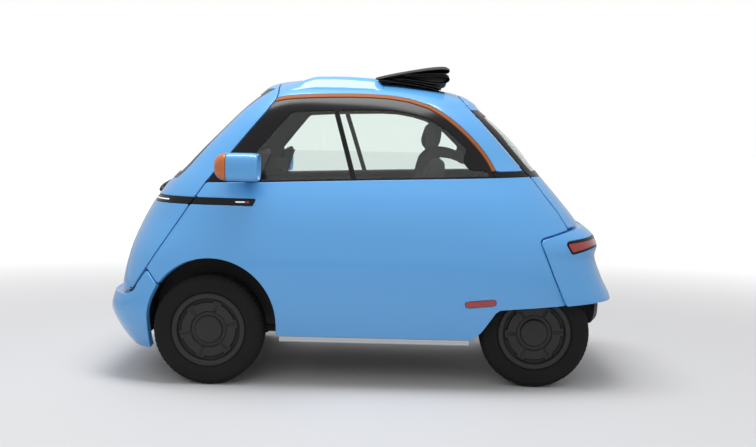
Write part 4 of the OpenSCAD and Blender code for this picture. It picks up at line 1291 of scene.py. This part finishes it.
def stuffed(name, profile, low, high, edge, voxel, cap, channels):
    """A pad of this side view between two widths, swollen, with channels sewn in."""
    count = len(profile)
    points = [(x, y, z) for y in (low, high) for x, z in profile]
    faces = [tuple(range(count)), tuple(range(2 * count - 1, count - 1, -1))]
    faces += [(i, i + count, (i + 1) % count + count, (i + 1) % count) for i in range(count)]
    made = object_from(name, points, faces)
    rounding = made.modifiers.new("rounding", "BEVEL")
    rounding.width = edge * 0.001
    rounding.segments = 4
    remesh = made.modifiers.new("remesh", "REMESH")
    remesh.mode = "VOXEL"
    remesh.voxel_size = voxel * 0.001
    soften = made.modifiers.new("soften", "SMOOTH")
    soften.iterations = 4
    settle(made)
    rest = vertices(made)
    swell = made.modifiers.new("swell", "CLOTH")
    swell.settings.use_pressure = True
    swell.settings.uniform_pressure_force = 4
    swell.settings.effector_weights.gravity = 0
    swell.point_cache.frame_end = 20
    for frame_number in range(1, 21):
        scene.frame_set(frame_number)
    settle(made)
    scene.frame_set(1)
    moved = vertices(made) - rest
    far = np.maximum(np.linalg.norm(moved, axis=1, keepdims=True) * 1000, 1e-6)
    placed = rest + moved * np.minimum(1, cap / far)
    set_vertices(made, placed)
    finer = made.modifiers.new("finer", "SUBSURF")
    finer.levels = 1
    settle(made)
    spots = vertices(made)
    normals = np.empty(len(spots) * 3)
    made.data.vertices.foreach_get("normal", normals)
    set_vertices(made, spots - normals.reshape(-1, 3) * 0.001 * channels(spots * 1000)[:, None])
    made.data.polygons.foreach_set("use_smooth", [True] * len(made.data.polygons))
    outfit(made, cloth, "body")
    return made


def settle(piece):
    """Turns what the modifiers show into the piece's own mesh."""
    shown = piece.evaluated_get(bpy.context.evaluated_depsgraph_get())
    mesh = bpy.data.meshes.new_from_object(shown)
    piece.modifiers.clear()
    piece.data = mesh


def vertices(piece):
    spots = np.empty(len(piece.data.vertices) * 3)
    piece.data.vertices.foreach_get("co", spots)
    return spots.reshape(-1, 3)


def set_vertices(piece, spots):
    piece.data.vertices.foreach_set("co", spots.ravel())
    piece.data.update()


def groove(distance, wide, deep):
    return deep * np.exp(-(distance / wide) ** 2)


def bench_channels(p):
    deep = groove(p[:, 1], 9, 9)
    for y in (-385, -135, 135, 385):
        deep += groove(p[:, 1] - y, 6, 5)
    return deep


def cushion_channels(p):
    top = p[:, 2] > 500
    return bench_channels(p) * top + groove(p[:, 0] - 70, 6, 5) * top


def back_channels(p):
    front = p[:, 0] > -330 - 0.12 * (p[:, 2] - 540)
    return (bench_channels(p) + groove(p[:, 2] - 985, 6, 5)) * front


bench_x, bench_half, seat_z = 136, 510, 560
cushion_side = [(bench_x - 11, seat_z - 24), (bench_x - 34, seat_z - 5), (bench_x - 436, seat_z - 40),
    (bench_x - 452, seat_z - 114), (bench_x - 30, seat_z - 114), (bench_x - 5, seat_z - 80)]
seat_cushion = stuffed("seat_cushion_pad", cushion_side, -bench_half + 5, bench_half - 5, 30, 17, 6,
    cushion_channels)
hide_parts("seat_cushion")


def back_at(h, ahead=0, above=0):
    """A place in side view on the backrest's leaning front face, or off it."""
    return bench_x - 376 - h * 0.12 + ahead, seat_z - 20 + h + above


back_side = [back_at(-30), back_at(420), back_at(556, -20), back_at(574, -50),
    back_at(556, -104), back_at(-30, -108)]
back_side = [(x - 5, z) for x, z in back_side]
seat_back = stuffed("seat_back_pad", back_side, -bench_half + 5, bench_half - 5, 26, 17, 5,
    back_channels)
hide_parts("seat_back")

rest_side = [back_at(600, 6, 3), back_at(650, 16), back_at(728, 2), back_at(756, -30, -2),
    back_at(728, -67), back_at(622, -69), back_at(600, -48, 2)]
foot_x, foot_z = back_at(580, -50, -6)
for side, side_name in car_sides:
    low, high = sorted((side * 134, side * 366))
    headrest = stuffed("headrest_" + side_name, rest_side, low, high, 24, 8, 5,
        lambda p, middle=side * 250: groove(np.abs(p[:, 1] - middle) - 92, 4, 3))
    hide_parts("headrests")
    for post, y in enumerate((side * 190, side * 310)):
        stay = rod("headrest_post_%s_%d" % (side_name, post), [(foot_x, y, foot_z + rise)
            for rise in (0, 14, 34)], 5, 5)
        outfit(stay, chrome, "body")

# The piping runs round the front of the cushion and the front of the backrest.
for line_name, (x, z) in (("cushion_piping", (bench_x - 31, seat_z - 2)),
        ("backrest_piping", back_at(548, -16))):
    line = [(x, y, z) for y in np.linspace(-480, 480, 40)]
    outfit(rod(line_name, line, 3.5, 3.5, steps=10), piping, "body")

# ---- Seat belts ----
# Flat woven straps, from a reel behind the bench over its top to a buckle at its foot.
# The reels, pillars and guides are black mouldings fixed to the body.
webbing = finished("belt_webbing", (0.014, 0.014, 0.015), 0.75, grain_scale=1600, strength=0.8,
    grain_depth=0.0005, dusty=0.05)
strap_path = np.array([(-628, 345, 660), (-597, 345, 830), (-600, 345, 1010), (-600, 345, 1062),
    (-588, 345, 1072), (-540, 345, 1090), (-470, 345, 1118), (-420, 347, 1131),
    (-365, 350, 1130), (-322, 353, 1110), (-296, 360, 1060), (-268, 372, 900),
    (-246, 392, 720), (-222, 412, 590), (-186, 424, 566)], float)
for _ in range(3):
    mids = (strap_path[1:] + strap_path[:-1]) / 2
    strap_path = np.concatenate([strap_path[:1], np.stack([strap_path[:-1] * 0.25 + mids * 0.75,
        mids * 0.75 + strap_path[1:] * 0.25], axis=1).reshape(-1, 3), strap_path[-1:]])


def belt_part(name, path, *shape, finish=satin_black, slot_name="black_trim", node=None):
    """A part of the belt on one side, from the left belt's path and a rod's sizes."""
    part = rod(name + "_" + side_name, np.array(path) * (1, side, 1), *shape)
    outfit(part, finish, "body", node)


for side, side_name in car_sides:
    belt_part("belt_reel", [(-625, 345, 548), (-625, 345, 640), (-625, 345, 655)], [34, 34, 28],
        [30, 30, 24], 5)
    belt_part("belt_pillar", [(-625, 345, 650), (-625, 345, 800), (-625, 345, 1010),
        (-625, 345, 1040)], [20, 17, 15, 14], [26, 22, 18, 16], 5, node="seat_belts")
    belt_part("belt_guide", [(-632, 345, 1034), (-628, 345, 1060), (-620, 345, 1082)],
        [26, 28, 22], [12, 14, 8], 4)
    belt_part("belt_strap", strap_path, 24, 1.3, 6, 20, finish=webbing, slot_name="webbing")
    belt_part("belt_buckle", [(-200, 424, 566), (-184, 425, 577), (-150, 428, 582),
        (-128, 430, 578)], [12, 16, 16, 10], [8, 11, 11, 8], 4)

# ---- Steering wheel ----
# A black three-spoke wheel with a padded centre that bears no badge. It turns on the
# column, which carries two stalks.
wheel_middle, wheel_lean, rim_mid = np.array([330.0, 290, 800]), np.radians(49.3), 147
column_way = np.array([-np.cos(wheel_lean), 0, np.sin(wheel_lean)])
wheel_up = np.array([np.sin(wheel_lean), 0, np.cos(wheel_lean)])
wheel_side = np.array([0.0, 1, 0])


def on_wheel(radius, degrees, off=0.0):
    """A point on the wheel: 0 degrees is its top, and off lies towards the driver."""
    turn = np.radians(degrees)
    return (wheel_middle + radius * np.cos(turn) * wheel_up + radius * np.sin(turn) * wheel_side
        + off * column_way)


def ring_of(name, major, section, steps):
    """A full ring on the wheel from a section of (outward, towards the driver) steps."""
    count = len(section)
    points = [on_wheel(major + out, 360 * step / steps, off) for step in range(steps)
        for out, off in section]
    return smoothed(name, points, sleeve(steps, count, closed=True))


grip = [(13.5 * np.cos(a), 13.5 * np.sin(a)) for a in circle(24)]
steer_rim = ring_of("steering_rim", rim_mid, grip, 144)
spokes = [rod("steering_spoke_%d" % n, [on_wheel(30, a, -6), on_wheel(60, a, -8),
    on_wheel(105, a, -8), on_wheel(140, a, -3)], [22, 16, 14, 17], [7, 6, 6, 6], 4)
    for n, a in enumerate((90, 180, 270))]
pad_line = [(1, 9), (22, 8.5), (36, 7), (44, 3.5), (47, -2), (47, -14), (44, -18), (30, -20),
    (1, -20)]
centre_pad = ring_of("steering_centre", 0, [(out, off - 2) for out, off in pad_line], 72)
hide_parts("steering_wheel")
for piece in (steer_rim, *spokes, centre_pad):
    outfit(piece, satin_black, "steering_wheel")
for n, a in enumerate((78, 282)):
    stalk = rod("steering_stalk_%d" % n, [on_wheel(26, a, -52), on_wheel(60, a, -50),
        on_wheel(86, a, -46), on_wheel(108, a, -44)], [6, 5, 7, 6], [6, 5, 6, 5], 3)
    outfit(stalk, satin_black, "body")

# ---- Hidden and underside parts ----
# The floor, liners, running gear and hinges are plain steel, cast metal or moulded
# plastic, each with its own finish.
steel = finished("painted_steel", (0.03, 0.031, 0.033), 0.55, metallic=0.3, grain_scale=300,
    strength=0.25, dusty=0.5, dust_top=0.6)
cast = finished("cast_aluminium", (0.42, 0.43, 0.44), 0.48, metallic=0.85, grain_scale=260,
    strength=0.35, dusty=0.45, dust_top=0.5)
carpet = finished("floor_carpet", (0.018, 0.018, 0.019), 0.95, grain_scale=500, strength=0.9,
    grain_depth=0.002, dusty=0.1)
for finish, slot_name, node_names in (
        (carpet, "black_trim", ("floor_pan",)), (lining, "black_trim", ("door_trim",)),
        (satin_black, "black_trim", ("arch_liners", "rear_valance", "seat_base",
            "steering_column")),
        (steel, "steel_dark", ("pedals", "hinge_pins", "door_hinge", "tailgate_hinges",
            "front_suspension", "rear_axle")),
        (cast, "aluminium_cast", ("knuckle_left", "knuckle_right", "motor_block"))):
    for node in (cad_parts[node_name] for node_name in node_names):
        node.data.materials.clear()
        node.data.materials.append(finish)
